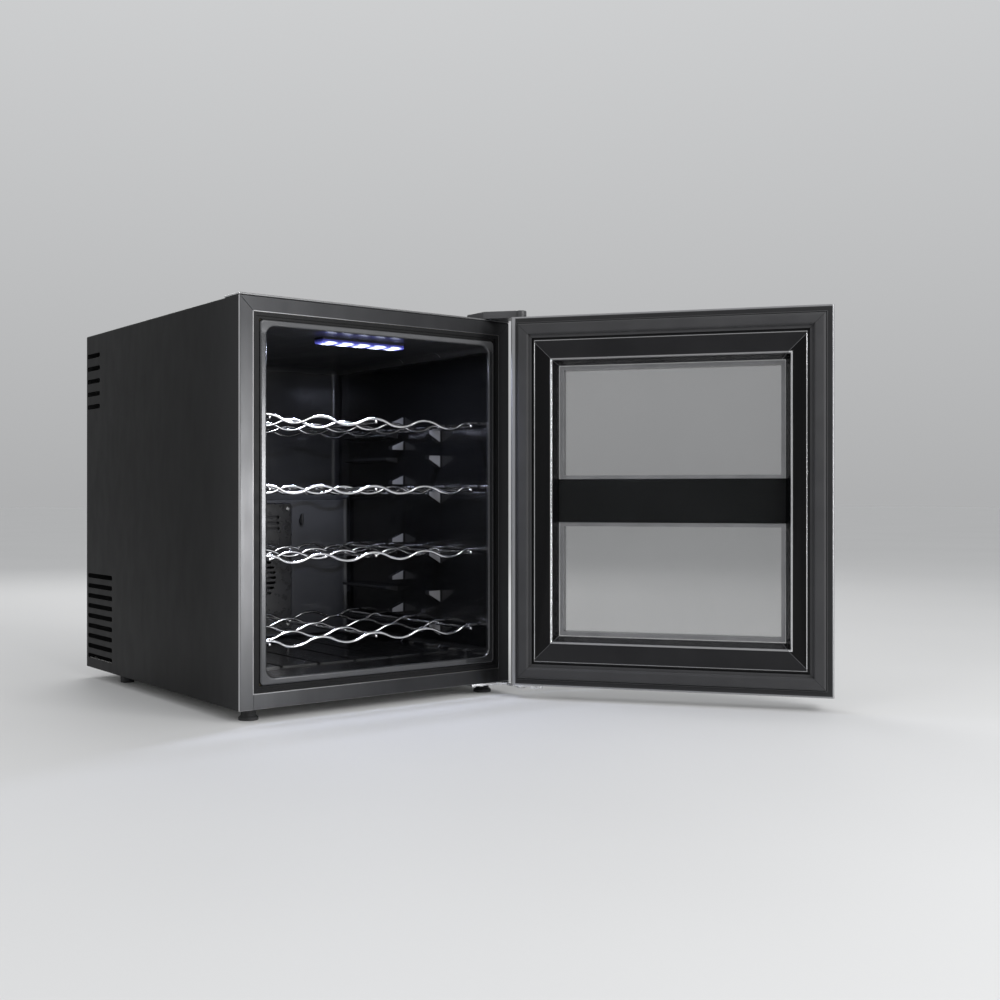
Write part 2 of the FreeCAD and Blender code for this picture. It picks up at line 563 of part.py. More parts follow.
def mains_inlet():
    """Three-pin appliance inlet in the rear cover."""
    flange = rounded_box(INLET_X - 17, INLET_X + 17, REAR_Y + SHEET + 0.02, REAR_Y + SHEET + 1.6,
                         INLET_Z - 13.5, INLET_Z + 13.5, 3, Y_AXIS)
    body = rounded_box(INLET_X - 14, INLET_X + 14, REAR_Y - 20, REAR_Y + SHEET + 1,
                       INLET_Z - 10.5, INLET_Z + 10.5, 2.4, Y_AXIS)
    inlet = flange.fuse(body).removeSplitter()
    socket = rounded_box(INLET_X - 12, INLET_X + 12, REAR_Y - 15, REAR_Y + 5,
                         INLET_Z - 8, INLET_Z + 8, 2.4, Y_AXIS)
    inlet = inlet.cut(socket)
    for dx, dz in ((-7, -1.5), (0, 2.5), (7, -1.5)):
        inlet = inlet.fuse(box(INLET_X + dx - 1, INLET_X + dx + 1, REAR_Y - 16, REAR_Y - 1,
                               INLET_Z + dz - 2, INLET_Z + dz + 2))
    return inlet.removeSplitter()


def temperature_probe():
    """Bead thermistor in its clip, at the top of the step beside the fan cover."""
    y = STEP_Y - 4.0
    bead = cylinder(2.5, 16, V(86, y, STEP_Z - 40))
    tip = Part.makeSphere(2.5, V(86, y, STEP_Z - 24))
    clip = box(82.5, 89.5, y, STEP_Y - 0.1, STEP_Z - 36, STEP_Z - 30)
    return fuse_all([bead, tip, clip])


# ---- lamp ----
LAMP_HALF, LAMP_WIDE, LAMP_Y = 66.0, 22.0, FRONT + 60.0
LAMP_Z = CEILING_Z - 0.1
LED_PITCH, LED_COUNT = 26.0, 5


def lamp_base():
    """Shallow tray on the ceiling that carries the lamp's board, with a boss for its lead."""
    y0, y1 = LAMP_Y - LAMP_WIDE / 2, LAMP_Y + LAMP_WIDE / 2
    tray = rounded_box(-LAMP_HALF, LAMP_HALF, y0, y1, LAMP_Z - 2.5, LAMP_Z, 3, Z_AXIS)
    tray = tray.cut(box(-LAMP_HALF + 4, LAMP_HALF - 4, y0 + 4, y1 - 4, LAMP_Z - 4, LAMP_Z - 1.2))
    return tray.fuse(cylinder(3.8, 6, V(0, LAMP_Y, LAMP_Z - 1))).removeSplitter()


def lamp_board():
    """Strip board with a row of light-emitting diodes."""
    y0, y1 = LAMP_Y - 6.8, LAMP_Y + 6.8
    board = box(-LAMP_HALF + 4.5, LAMP_HALF - 4.5, y0, y1, LAMP_Z - 2.4, LAMP_Z - 1.3)
    chips = [box(LED_PITCH * (i - 2) - 2.5, LED_PITCH * (i - 2) + 2.5, LAMP_Y - 2.5, LAMP_Y + 2.5,
                 LAMP_Z - 3.4, LAMP_Z - 2.4) for i in range(LED_COUNT)]
    return fuse_all([board] + chips)


def lamp_lens():
    """Clear cover over the diodes."""
    y0, y1 = LAMP_Y - LAMP_WIDE / 2, LAMP_Y + LAMP_WIDE / 2
    low = LAMP_Z - 7.5
    lens = rounded_box(-LAMP_HALF, LAMP_HALF, y0, y1, low, LAMP_Z - 2.6, 3, Z_AXIS)
    lens = lens.makeFillet(2.0, edges_where(lens, lambda e: e.BoundBox.ZMax < low + 0.01))
    return lens.cut(box(-LAMP_HALF + 2, LAMP_HALF - 2, y0 + 2, y1 - 2, low + 1.6, LAMP_Z))


# ---- shelves ----
WAVE_RADIUS, RAIL_RADIUS = 2.0, 2.25
WELD_GAP = 0.02                              # keeps the wires separate solids where the real ones are welded
RAIL_X = 160.0
WAVE_PITCH, WAVE_HEIGHT = 83.0, 9.6
WAVE_END = 172.2
WAVE_DEPTHS = [24.0 + 77.5 * i for i in range(5)]
SHELF_LEVELS = {"shelf_1": 358.5, "shelf_2": 268.7, "shelf_3": 180.3, "shelf_4": 73.5}


def wave_path(z_top):
    """Centre line of a waved wire: tangent arcs from crest to trough, with straight ends over the rails."""
    half = WAVE_PITCH / 2
    knots = [(-RAIL_X, 0)] + [(half * i, -1 if i % 2 else 0) for i in range(-3, 4)] + [(RAIL_X, 0)]
    edges = [Part.LineSegment(V(-WAVE_END, 0, z_top), V(-RAIL_X, 0, z_top)).toShape()]
    for (x0, k0), (x1, k1) in zip(knots, knots[1:]):
        span, drop = x1 - x0, (k1 - k0) * WAVE_HEIGHT
        radius = (span ** 2 + drop ** 2) / (4 * abs(drop))
        middle = V((x0 + x1) / 2, 0, z_top + (k0 + k1) / 2 * WAVE_HEIGHT)
        angle = math.asin(span / 2 / radius) / 2
        start = V(x0, 0, z_top + k0 * WAVE_HEIGHT)
        end = V(x1, 0, z_top + k1 * WAVE_HEIGHT)
        fall = -1 if drop < 0 else 1
        via0 = V(x0 + radius * math.sin(angle), 0, start.z + fall * radius * (1 - math.cos(angle)))
        via1 = V(x1 - radius * math.sin(angle), 0, end.z - fall * radius * (1 - math.cos(angle)))
        edges.append(Part.Arc(start, via0, middle).toShape())
        edges.append(Part.Arc(middle, via1, end).toShape())
    edges.append(Part.LineSegment(V(RAIL_X, 0, z_top), V(WAVE_END, 0, z_top)).toShape())
    return Part.Wire(edges)


def wave_wire(y, z_top):
    path = wave_path(z_top)
    section = Part.Wire(Part.makeCircle(WAVE_RADIUS, V(-WAVE_END, 0, z_top), X_AXIS))
    wire = path.makePipeShell([section], True, False)
    wire.translate(V(0, y, 0))
    return wire


def shelf_rail(x, z):
    y0, y1 = FRONT + WAVE_DEPTHS[0] - 5, FRONT + WAVE_DEPTHS[-1] + 5
    rail = cylinder(RAIL_RADIUS, y1 - y0, V(x, y0, z), Y_AXIS)
    return rail.makeFillet(RAIL_RADIUS * 0.8, [e for e in rail.Edges if e.Closed])


def shelf(level):
    """Welded wire shelf: five waved cross wires on three straight rails."""
    rail_z = BASE + level + RAIL_RADIUS
    wave_z = rail_z + RAIL_RADIUS + WAVE_RADIUS + WELD_GAP
    wires = [shelf_rail(x, rail_z) for x in (-RAIL_X, 0.0, RAIL_X)]
    wires += [wave_wire(FRONT + d, wave_z) for d in WAVE_DEPTHS]
    return Part.makeCompound(wires)


# ---- hinges ----
HINGE_PLATE = 3.0
TOP_PLATE_Z = TOP + TRIM_HEIGHT
TOP_SCREW_SPOTS = [(HALF - 34.0, FRONT + 12.0), (HALF - 34.0, FRONT + 28.0), (HALF - 14.0, FRONT + 28.0)]
BOTTOM_SCREW_SPOTS = [(HALF - 16.0, FRONT + 10.0), (HALF - 44.0, FRONT + 8.0), (HALF - 58.0, FRONT + 8.0)]
TOP_ARM = [(HALF - 46.0, FRONT + 1.0), (HALF - 46.0, FRONT + 38.0), (HALF - 1.0, FRONT + 38.0),
           (HALF - 1.0, FRONT + 2.0), (PIN_X + 8.0, PIN_Y), (PIN_X - 8.0, PIN_Y)]
BOTTOM_ARM = [(HALF - 66.0, FRONT + 1.5), (HALF - 66.0, FRONT + 14.0), (HALF - 3.0, FRONT + 14.0),
              (HALF - 3.0, FRONT + 2.0), (PIN_X + 8.0, PIN_Y), (PIN_X - 8.5, PIN_Y),
              (PIN_X - 9.5, FRONT - 16.0), (PIN_X - 17.0, FRONT - 4.0)]


def arm_plate(outline, z0, thick, nose, spots, hole):
    """A flat bracket: an arm with a round nose on the hinge axis, screw holes and the pin's hole."""
    points = [V(x, y, z0) for x, y in outline]
    plate = Part.Face(Part.makePolygon(points + points[:1])).extrude(V(0, 0, thick))
    plate = fuse_all([plate, cylinder(nose, thick, V(PIN_X, PIN_Y, z0))])
    tools = [cylinder(2.0, thick + 4, V(x, y, z0 - 2)) for x, y in spots]
    tools.append(cylinder(hole, thick + 4, V(PIN_X, PIN_Y, z0 - 2)))
    return cut_all(plate, tools)


def top_hinge_bracket():
    return arm_plate(TOP_ARM, TOP_PLATE_Z, HINGE_PLATE, 8.0, TOP_SCREW_SPOTS, PIN_RADIUS)


def bottom_hinge_bracket():
    return arm_plate(BOTTOM_ARM, BASE - HINGE_PLATE, HINGE_PLATE, 8.5, BOTTOM_SCREW_SPOTS, PIN_RADIUS)


COVER_HEIGHT = 7.0


def top_hinge_cover():
    """Dark plastic cap over the upper bracket, its screws and the pin's head."""
    z0 = TOP_PLATE_Z + HINGE_PLATE
    points = [V(x, y, z0) for x, y in TOP_ARM]
    body = Part.Face(Part.makePolygon(points + points[:1])).extrude(V(0, 0, COVER_HEIGHT))
    body = fuse_all([body, cylinder(8.0, COVER_HEIGHT, V(PIN_X, PIN_Y, z0))])
    body = body.makeFillet(1.5, edges_where(body, lambda e: e.BoundBox.ZMin > z0 + COVER_HEIGHT - 0.01))
    room = [cylinder(4.3, 3.6, V(x, y, z0 - 0.6)) for x, y in TOP_SCREW_SPOTS]
    room.append(cylinder(5.6, 3.6, V(PIN_X, PIN_Y, z0 - 0.6)))
    return cut_all(body, room)


PIN_REACH = 20.0


def top_hinge_pin():
    head = cylinder(5.0, 2.0, V(PIN_X, PIN_Y, TOP_PLATE_Z + HINGE_PLATE))
    shank = cylinder(PIN_RADIUS, HINGE_PLATE + TRIM_HEIGHT + PIN_REACH, V(PIN_X, PIN_Y, TOP - PIN_REACH))
    tip = edges_where(shank, lambda e: e.Closed and e.BoundBox.ZMax < TOP - PIN_REACH + 0.01)
    return head.fuse(shank.makeFillet(0.8, tip)).removeSplitter()


def bottom_hinge_pin():
    low = BASE - HINGE_PLATE - 2.0
    head = cylinder(6.0, 2.0, V(PIN_X, PIN_Y, low))
    head = head.makeFillet(0.8, edges_where(head, lambda e: e.Closed and e.BoundBox.ZMax < low + 0.1))
    shank = cylinder(PIN_RADIUS, HINGE_PLATE + DOOR_FOOT_GAP + PIN_REACH, V(PIN_X, PIN_Y, BASE - HINGE_PLATE))
    tip = edges_where(shank, lambda e: e.Closed and e.BoundBox.ZMin > DOOR_BOTTOM + PIN_REACH - 0.01)
    return head.fuse(shank.makeFillet(0.8, tip)).removeSplitter()


def top_hinge_screws():
    z = TOP_PLATE_Z + HINGE_PLATE + 0.02
    return Part.makeCompound([pan_screw(V(x, y, z), Z_AXIS) for x, y in TOP_SCREW_SPOTS])


def bottom_hinge_screws():
    z = BASE - HINGE_PLATE - 0.02
    return Part.makeCompound([pan_screw(V(x, y, z), V(0, 0, -1)) for x, y in BOTTOM_SCREW_SPOTS])


# ---- door, drawn closed and swung open at the end ----
GASKET_OUTER, GASKET_INNER = 8.0, 28.0
RING_INNER = 33.0
GLAZING_LEDGE = 50.0
OUTER_GLASS, INNER_GLASS = 4.0, 3.2
GLASS_INSET = 3.0
FACE_Y = DOOR_INNER_Y + 3.0                    # inner frame stands proud of the door's inner face
INNER_PANE_Y = FACE_Y - 20.0                   # inner pane's compartment side
HINGE_BAND, FREE_BAND, RAIL_BAND = 57.0, 53.0, 60.0
BAND_LOW, BAND_HIGH = BASE + 226.0, BASE + 285.0
SPACER = 5.0
BUSH_RADIUS, BUSH_FLANGE = 6.0, 7.4
GRIP_Z0, GRIP_Z1 = BASE + 175.0, BASE + 335.0


def door_outline(inset):
    return (-HALF + inset, HALF - inset, DOOR_BOTTOM + inset, TOP - inset)


def window_outline(extra):
    """The clear opening inside the inner frame: its stile on the hinge side is the wider one."""
    return (-HALF + FREE_BAND + extra, HALF - HINGE_BAND - extra,
            DOOR_BOTTOM + RAIL_BAND + extra, TOP - RAIL_BAND - extra)


def rect_wire(outline, y):
    x0, x1, z0, z1 = outline
    return Part.makePolygon([V(x0, y, z0), V(x1, y, z0), V(x1, y, z1), V(x0, y, z1), V(x0, y, z0)])


def door_frame():
    """Outer door frame: carries the glass in front, the seal behind, and a finger recess on its free edge."""
    x0, x1, z0, z1 = door_outline(0)
    body = rounded_box(x0, x1, DOOR_OUTER_Y, DOOR_INNER_Y, z0, z1, 2.5, Z_AXIS)
    glass_y = DOOR_OUTER_Y + OUTER_GLASS
    ledge_y = INNER_PANE_Y - INNER_GLASS
    tools = [filled(door_outline(GLASS_INSET), DOOR_OUTER_Y - 1, glass_y),
             filled(door_outline(GLAZING_LEDGE), glass_y - 1, ledge_y + 1),
             filled(door_outline(RING_INNER), ledge_y, DOOR_INNER_Y + 1),
             rect_ring(door_outline(GASKET_INNER + 0.5), door_outline(RING_INNER - 0.8),
                       DOOR_INNER_Y - 4, DOOR_INNER_Y + 1)]
    depth = PIN_REACH + 1
    tools.append(cylinder(BUSH_RADIUS, depth, V(PIN_X, PIN_Y, TOP - depth)))
    tools.append(cylinder(BUSH_RADIUS, depth, V(PIN_X, PIN_Y, DOOR_BOTTOM)))
    grip = rounded_box(-HALF - 5, -HALF + 12, DOOR_OUTER_Y + 9, DOOR_INNER_Y - 9, GRIP_Z0, GRIP_Z1, 6, X_AXIS)
    grip = grip.makeFillet(4.0, edges_where(grip, lambda e: e.BoundBox.XMin > -HALF + 11.9))
    tools.append(grip)
    return cut_all(body, tools)


def door_outer_glass():
    """Full-size tinted front pane; the controls are touched through it."""
    x0, x1, z0, z1 = door_outline(GLASS_INSET + 0.2)
    pane = box(x0, x1, DOOR_OUTER_Y - 0.2, DOOR_OUTER_Y + OUTER_GLASS - 0.1, z0, z1)
    return pane.makeChamfer(0.6, edges_where(pane, lambda e: e.BoundBox.YMax < DOOR_OUTER_Y))


def door_inner_glass():
    x0, x1, z0, z1 = door_outline(RING_INNER + 1.0)
    return box(x0, x1, INNER_PANE_Y - INNER_GLASS + 0.05, INNER_PANE_Y - 0.05, z0, z1)


def door_inner_frame():
    """Gloss picture frame over the inner pane: a flat band, then a wall that slopes down to the glass."""
    x0, x1, z0, z1 = door_outline(RING_INNER + 0.3)
    body = box(x0, x1, INNER_PANE_Y, FACE_Y, z0, z1)
    body = body.makeFillet(1.2, edges_where(body, lambda e: e.BoundBox.YMin > FACE_Y - 0.01))
    slope = Part.makeLoft([rect_wire(window_outline(7.5), INNER_PANE_Y - 0.5),
                           rect_wire(window_outline(0.0), FACE_Y + 0.5)], True, True)
    return body.cut(slope)


def door_gasket():
    """Magnetic seal: a hollow rubber ring with a soft rounded face."""
    body = rect_ring(door_outline(GASKET_OUTER), door_outline(GASKET_INNER), DOOR_INNER_Y, FRONT - 0.4)
    crown = edges_where(body, lambda e: e.BoundBox.YMin > FRONT - 0.41)
    body = body.makeFillet(2.6, crown)
    channel = rect_ring(door_outline(GASKET_OUTER + 4.0), door_outline(GASKET_INNER - 4.0),
                        FRONT - 5.6, FRONT - 1.8)
    return body.cut(channel)


def gasket_magnets():
    """Four flexible magnet strips inside the seal."""
    x0, x1, z0, z1 = door_outline(GASKET_OUTER + 6.0)
    y0, y1 = FRONT - 5.2, FRONT - 2.2
    wide = 8.0
    strips = [box(x0, x0 + wide, y0, y1, z0 + wide + 4, z1 - wide - 4),
              box(x1 - wide, x1, y0, y1, z0 + wide + 4, z1 - wide - 4),
              box(x0 + wide + 4, x1 - wide - 4, y0, y1, z0, z0 + wide),
              box(x0 + wide + 4, x1 - wide - 4, y0, y1, z1 - wide, z1)]
    return Part.makeCompound(strips)


def window_spacer(z0, z1):
    """Spacer bar that holds the two panes apart round one window."""
    x0, x1 = window_outline(8.0)[:2]
    y0, y1 = DOOR_OUTER_Y + OUTER_GLASS, INNER_PANE_Y - INNER_GLASS
    return rect_ring((x0, x1, z0, z1), (x0 + SPACER, x1 - SPACER, z0 + SPACER, z1 - SPACER), y0, y1)


def window_spacer_upper():
    return window_spacer(BAND_HIGH + 0.3, window_outline(8.0)[3])


def window_spacer_lower():
    return window_spacer(window_outline(8.0)[2], BAND_LOW - 0.3)


HOUSING_Y0, HOUSING_Y1 = DOOR_OUTER_Y + OUTER_GLASS, INNER_PANE_Y - INNER_GLASS


def control_housing():
    """Dark box across the middle of the door, between the panes; open to the front pane."""
    x0, x1 = window_outline(-1.0)[:2]
    body = box(x0, x1, HOUSING_Y0 + 0.05, HOUSING_Y1, BAND_LOW, BAND_HIGH)
    hollow = box(x0 + 2, x1 - 2, HOUSING_Y0 - 1, HOUSING_Y1 - 2, BAND_LOW + 2, BAND_HIGH - 2)
    body = body.cut(hollow)
    zc = (BAND_LOW + BAND_HIGH) / 2
    bosses = [cylinder(4, 6.0, V(x, HOUSING_Y1 - 8.0, zc), Y_AXIS) for x in (x0 + 20, x1 - 20)]
    return fuse_all([body] + bosses)


def control_board():
    """Circuit board with five sprung touch pads that bear on the front pane."""
    x0, x1 = window_outline(-1.0)[:2]
    y1 = HOUSING_Y1 - 8.0
    zc = (BAND_LOW + BAND_HIGH) / 2
    board = box(x0 + 6, x1 - 6, y1 - 1.6, y1, zc - 22, zc + 22)
    pads = []
    for i in range(5):
        x = -88 + 22 * i if i < 2 else 44 + 22 * (i - 2)
        pads.append(cylinder(5.5, y1 - 1.6 - HOUSING_Y0 - 0.2, V(x, HOUSING_Y0 + 0.2, zc), Y_AXIS))
    return fuse_all([board] + pads)


def display_module():
    """Two-window numeric display for the compartment's temperature."""
    y1 = HOUSING_Y1 - 9.7
    zc = (BAND_LOW + BAND_HIGH) / 2
    body = box(-42, 22, HOUSING_Y0 + 0.4, y1, zc - 12, zc + 12)
    return body.makeFillet(0.8, edges_where(body, lambda e: e.BoundBox.YMax < HOUSING_Y0 + 0.41))


def door_bush_top():
    """Flanged bush in the door's upper edge."""
    stem = tube(BUSH_RADIUS - 0.02, PIN_RADIUS + RUNNING, PIN_REACH, V(PIN_X, PIN_Y, TOP - PIN_REACH))
    flange = tube(BUSH_FLANGE, PIN_RADIUS + RUNNING, 1.6, V(PIN_X, PIN_Y, TOP))
    return stem.fuse(flange).removeSplitter()


STOP_PLATE = 1.5


def door_bush_bottom():
    """Flanged bush that carries the door on the lower bracket."""
    low = BASE + 0.1
    stem = tube(BUSH_RADIUS - 0.02, PIN_RADIUS + RUNNING, PIN_REACH + DOOR_FOOT_GAP - 0.4, V(PIN_X, PIN_Y, low))
    flange = tube(BUSH_FLANGE, PIN_RADIUS + RUNNING, DOOR_FOOT_GAP - 0.1 - STOP_PLATE, V(PIN_X, PIN_Y, low))
    return stem.fuse(flange).removeSplitter()


STOP_RADIUS, STOP_ANGLE = 12.2, 246.0


def door_stop_plate():
    """Plated strip under the door; its peg meets the lower arm when the door is fully open."""
    z0 = DOOR_BOTTOM - STOP_PLATE
    plate = rounded_box(HALF - 44, HALF - 1, DOOR_OUTER_Y + 2, DOOR_INNER_Y, z0, DOOR_BOTTOM, 3, Z_AXIS)
    lip = rounded_box(HALF - 44, HALF - 28, DOOR_INNER_Y - 6, DOOR_INNER_Y + 3.5, z0 - 2.0, z0, 2.0, Z_AXIS)
    angle = math.radians(STOP_ANGLE)
    peg_x, peg_y = PIN_X + STOP_RADIUS * math.cos(angle), PIN_Y + STOP_RADIUS * math.sin(angle)
    peg = cylinder(2.0, 3.5, V(peg_x, peg_y, z0 - 3.5))
    plate = fuse_all([plate, lip, peg])
    return plate.cut(cylinder(BUSH_RADIUS, 6, V(PIN_X, PIN_Y, z0 - 2)))


DOOR_PARTS = {
    "door_frame": door_frame, "door_outer_glass": door_outer_glass, "door_inner_glass": door_inner_glass,
    "door_inner_frame": door_inner_frame, "door_gasket": door_gasket, "gasket_magnets": gasket_magnets,
    "window_spacer_upper": window_spacer_upper, "window_spacer_lower": window_spacer_lower,
    "control_housing": control_housing, "control_board": control_board, "display_module": display_module,
    "door_bush_top": door_bush_top, "door_bush_bottom": door_bush_bottom, "door_stop_plate": door_stop_plate,
}
CABINET_PARTS = {
    "cabinet_shell": cabinet_shell, "top_front_trim": top_front_trim, "base_panel": base_panel,
    "bottom_front_rail": bottom_front_rail, "breaker_strip": breaker_strip, "inner_liner": inner_liner,
    "insulation_foam": insulation_foam, "rear_bulkhead": rear_bulkhead, "rear_cover": rear_cover,
    "rear_cover_screws": rear_cover_screws, "cold_fan_cover": cold_fan_cover, "cover_screws": cover_screws,
    "cold_fan_frame": cold_fan_frame, "cold_fan_rotor": cold_fan_rotor, "cold_sink": cold_sink,
    "thermoelectric_module": thermoelectric_module, "hot_sink": hot_sink, "sink_bolts": sink_bolts,
    "hot_fan_frame": hot_fan_frame, "hot_fan_rotor": hot_fan_rotor, "power_board": power_board,
    "power_components": power_components, "mains_inlet": mains_inlet, "temperature_probe": temperature_probe,
    "lamp_base": lamp_base, "lamp_board": lamp_board, "lamp_lens": lamp_lens,
    "top_hinge_bracket": top_hinge_bracket, "top_hinge_cover": top_hinge_cover, "top_hinge_pin": top_hinge_pin,
    "top_hinge_screws": top_hinge_screws, "bottom_hinge_bracket": bottom_hinge_bracket,
    "bottom_hinge_pin": bottom_hinge_pin, "bottom_hinge_screws": bottom_hinge_screws,
}


def save(name, shape):
    shape.exportStep("parts/%s.step" % name)


for part_name, make in CABINET_PARTS.items():
    save(part_name, make())
for part_name in FEET:
    save(part_name, foot(part_name))
for part_name, part_level in SHELF_LEVELS.items():
    save(part_name, shelf(part_level))
for part_name, make in DOOR_PARTS.items():
    swung = make()
    swung.rotate(V(PIN_X, PIN_Y, 0), Z_AXIS, DOOR_OPEN_ANGLE)
    save(part_name, swung)
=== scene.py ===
import math

import bmesh
import bpy
from mathutils import Matrix, Vector


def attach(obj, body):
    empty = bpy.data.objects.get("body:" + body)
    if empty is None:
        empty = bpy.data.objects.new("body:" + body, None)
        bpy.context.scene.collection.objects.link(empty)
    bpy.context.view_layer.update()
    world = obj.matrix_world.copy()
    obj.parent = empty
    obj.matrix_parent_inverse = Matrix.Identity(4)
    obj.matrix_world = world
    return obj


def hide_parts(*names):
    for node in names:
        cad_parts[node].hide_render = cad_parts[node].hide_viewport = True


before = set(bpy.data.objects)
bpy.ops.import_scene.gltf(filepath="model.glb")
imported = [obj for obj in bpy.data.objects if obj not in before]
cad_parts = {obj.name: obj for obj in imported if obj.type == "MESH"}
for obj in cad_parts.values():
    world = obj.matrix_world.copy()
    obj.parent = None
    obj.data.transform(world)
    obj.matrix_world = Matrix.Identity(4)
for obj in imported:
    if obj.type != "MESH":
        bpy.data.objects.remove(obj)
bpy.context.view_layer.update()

# ---- places, in metres, in the cooler's own frame ----
MM = 0.001
HALF = 212.5 * MM
FRONT = -254.0 * MM
BASE, TOP = 16.0 * MM, 524.0 * MM
PIN = Vector((204.5 * MM, -289.0 * MM, 0.0))
SWING = math.radians(127.1)
DOOR_BOTTOM = 18.5 * MM
DOOR_FACE = -262.0 * MM
DOOR_FRONT = -304.0 * MM
DOOR_MIDDLE = (DOOR_BOTTOM + TOP) / 2
STEP_FACE = FRONT + 369.0 * MM
LUG_FACES = (FRONT + 112 * MM, FRONT + 208 * MM)
FRAME_FACE = DOOR_FACE + 3.0 * MM
FRAME_SIDE, FRAME_END = 179.2 * MM, 33.3 * MM
CLEAR_LEFT, CLEAR_RIGHT, CLEAR_END = -159.5 * MM, 155.5 * MM, 60.0 * MM
DIODE_TOP = 484.45 * MM
LAMP_MIDDLE = Vector((0.0, -194.0 * MM, 487.9 * MM))
LAMP_PITCH = 26.0 * MM
BAND_MIDDLE = 271.5 * MM


# ---- finishes ----
class Finish:
    """One procedural finish: a Principled shader with the patterns that feed it."""

    def __init__(self, name, roughness=0.4, metallic=0.0, specular=0.5, coat=0.0, coat_roughness=0.1):
        self.material = bpy.data.materials.new(name)
        self.material.use_nodes = True
        self.tree = self.material.node_tree
        self.shader = self.tree.nodes["Principled BSDF"]
        self.place = self.tree.nodes.new("ShaderNodeTexCoord").outputs["Object"]
        self.put(Roughness=roughness, Metallic=metallic)
        self.shader.inputs["Specular IOR Level"].default_value = specular
        self.shader.inputs["Coat Weight"].default_value = coat
        self.shader.inputs["Coat Roughness"].default_value = coat_roughness
        self.height = None

    def put(self, **values):
        for key, value in values.items():
            self.shader.inputs[key.replace("_", " ")].default_value = value

    def add(self, kind, **settings):
        made = self.tree.nodes.new("ShaderNode" + kind)
        for key, value in settings.items():
            setattr(made, key, value)
        return made

    def wire(self, source, socket):
        self.tree.links.new(source, socket)

    def turned(self, location=(0, 0, 0), rotation=(0, 0, 0), scale=(1, 1, 1), at=None):
        mapping = self.add("Mapping")
        mapping.inputs["Location"].default_value = location
        mapping.inputs["Rotation"].default_value = rotation
        mapping.inputs["Scale"].default_value = scale
        self.wire(at or self.place, mapping.inputs["Vector"])
        return mapping.outputs["Vector"]

    def noise(self, scale, detail=3.0, roughness=0.55, at=None):
        made = self.add("TexNoise")
        made.inputs["Scale"].default_value = scale
        made.inputs["Detail"].default_value = detail
        made.inputs["Roughness"].default_value = roughness
        self.wire(at or self.place, made.inputs["Vector"])
        return made.outputs["Fac"]

    def cells(self, scale, at=None, feature="F1"):
        made = self.add("TexVoronoi", feature=feature)
        made.inputs["Scale"].default_value = scale
        self.wire(at or self.place, made.inputs["Vector"])
        return made.outputs["Distance"]

    def sums(self, operation, a, b=None, c=None):
        made = self.add("Math", operation=operation)
        for socket, value in zip(made.inputs, (a, b, c)):
            if value is None:
                continue
            if isinstance(value, (int, float)):
                socket.default_value = value
            else:
                self.wire(value, socket)
        return made.outputs[0]

    def span(self, value, low, high, out_low=0.0, out_high=1.0):
        made = self.add("MapRange", clamp=True)
        for key, number in zip(("From Min", "From Max", "To Min", "To Max"), (low, high, out_low, out_high)):
            made.inputs[key].default_value = number
        self.wire(value, made.inputs["Value"])
        return made.outputs["Result"]

    def axes(self, at=None):
        made = self.add("SeparateXYZ")
        self.wire(at or self.place, made.inputs[0])
        return made.outputs

    def blend(self, factor, first, second):
        """One colour where the factor is 0, the other where it is 1. Each is a colour or an earlier mix."""
        made = self.add("Mix", data_type="RGBA")
        for index, value in ((6, first), (7, second)):
            if isinstance(value, tuple):
                made.inputs[index].default_value = (*value, 1.0)
            else:
                self.wire(value, made.inputs[index])
        self.wire(factor, made.inputs[0])
        return made.outputs[2]

    def colour(self, value):
        self.wire(value, self.shader.inputs["Base Color"])

    def rough(self, value, low, high):
        self.wire(self.span(value, 0.3, 0.7, low, high), self.shader.inputs["Roughness"])

    def emboss(self, value, depth, strength=1.0):
        """Adds relief of a depth in metres; several calls stack."""
        bump = self.add("Bump")
        bump.inputs["Strength"].default_value = strength
        bump.inputs["Distance"].default_value = depth
        self.wire(value, bump.inputs["Height"])
        if self.height is not None:
            self.wire(self.height, bump.inputs["Normal"])
        self.height = bump.outputs["Normal"]
        self.wire(self.height, self.shader.inputs["Normal"])

    def soften(self, radius):
        """Rounds the look of sharp folds and moulded corners."""
        bevel = self.add("Bevel", samples=4)
        bevel.inputs["Radius"].default_value = radius
        self.height = bevel.outputs["Normal"]
        self.wire(self.height, self.shader.inputs["Normal"])


def door_place(finish):
    """The door's own place: as the door is when shut."""
    back = Matrix.Rotation(-SWING, 3, "Z")
    return finish.turned(location=PIN - back @ PIN, rotation=(0, 0, -SWING))


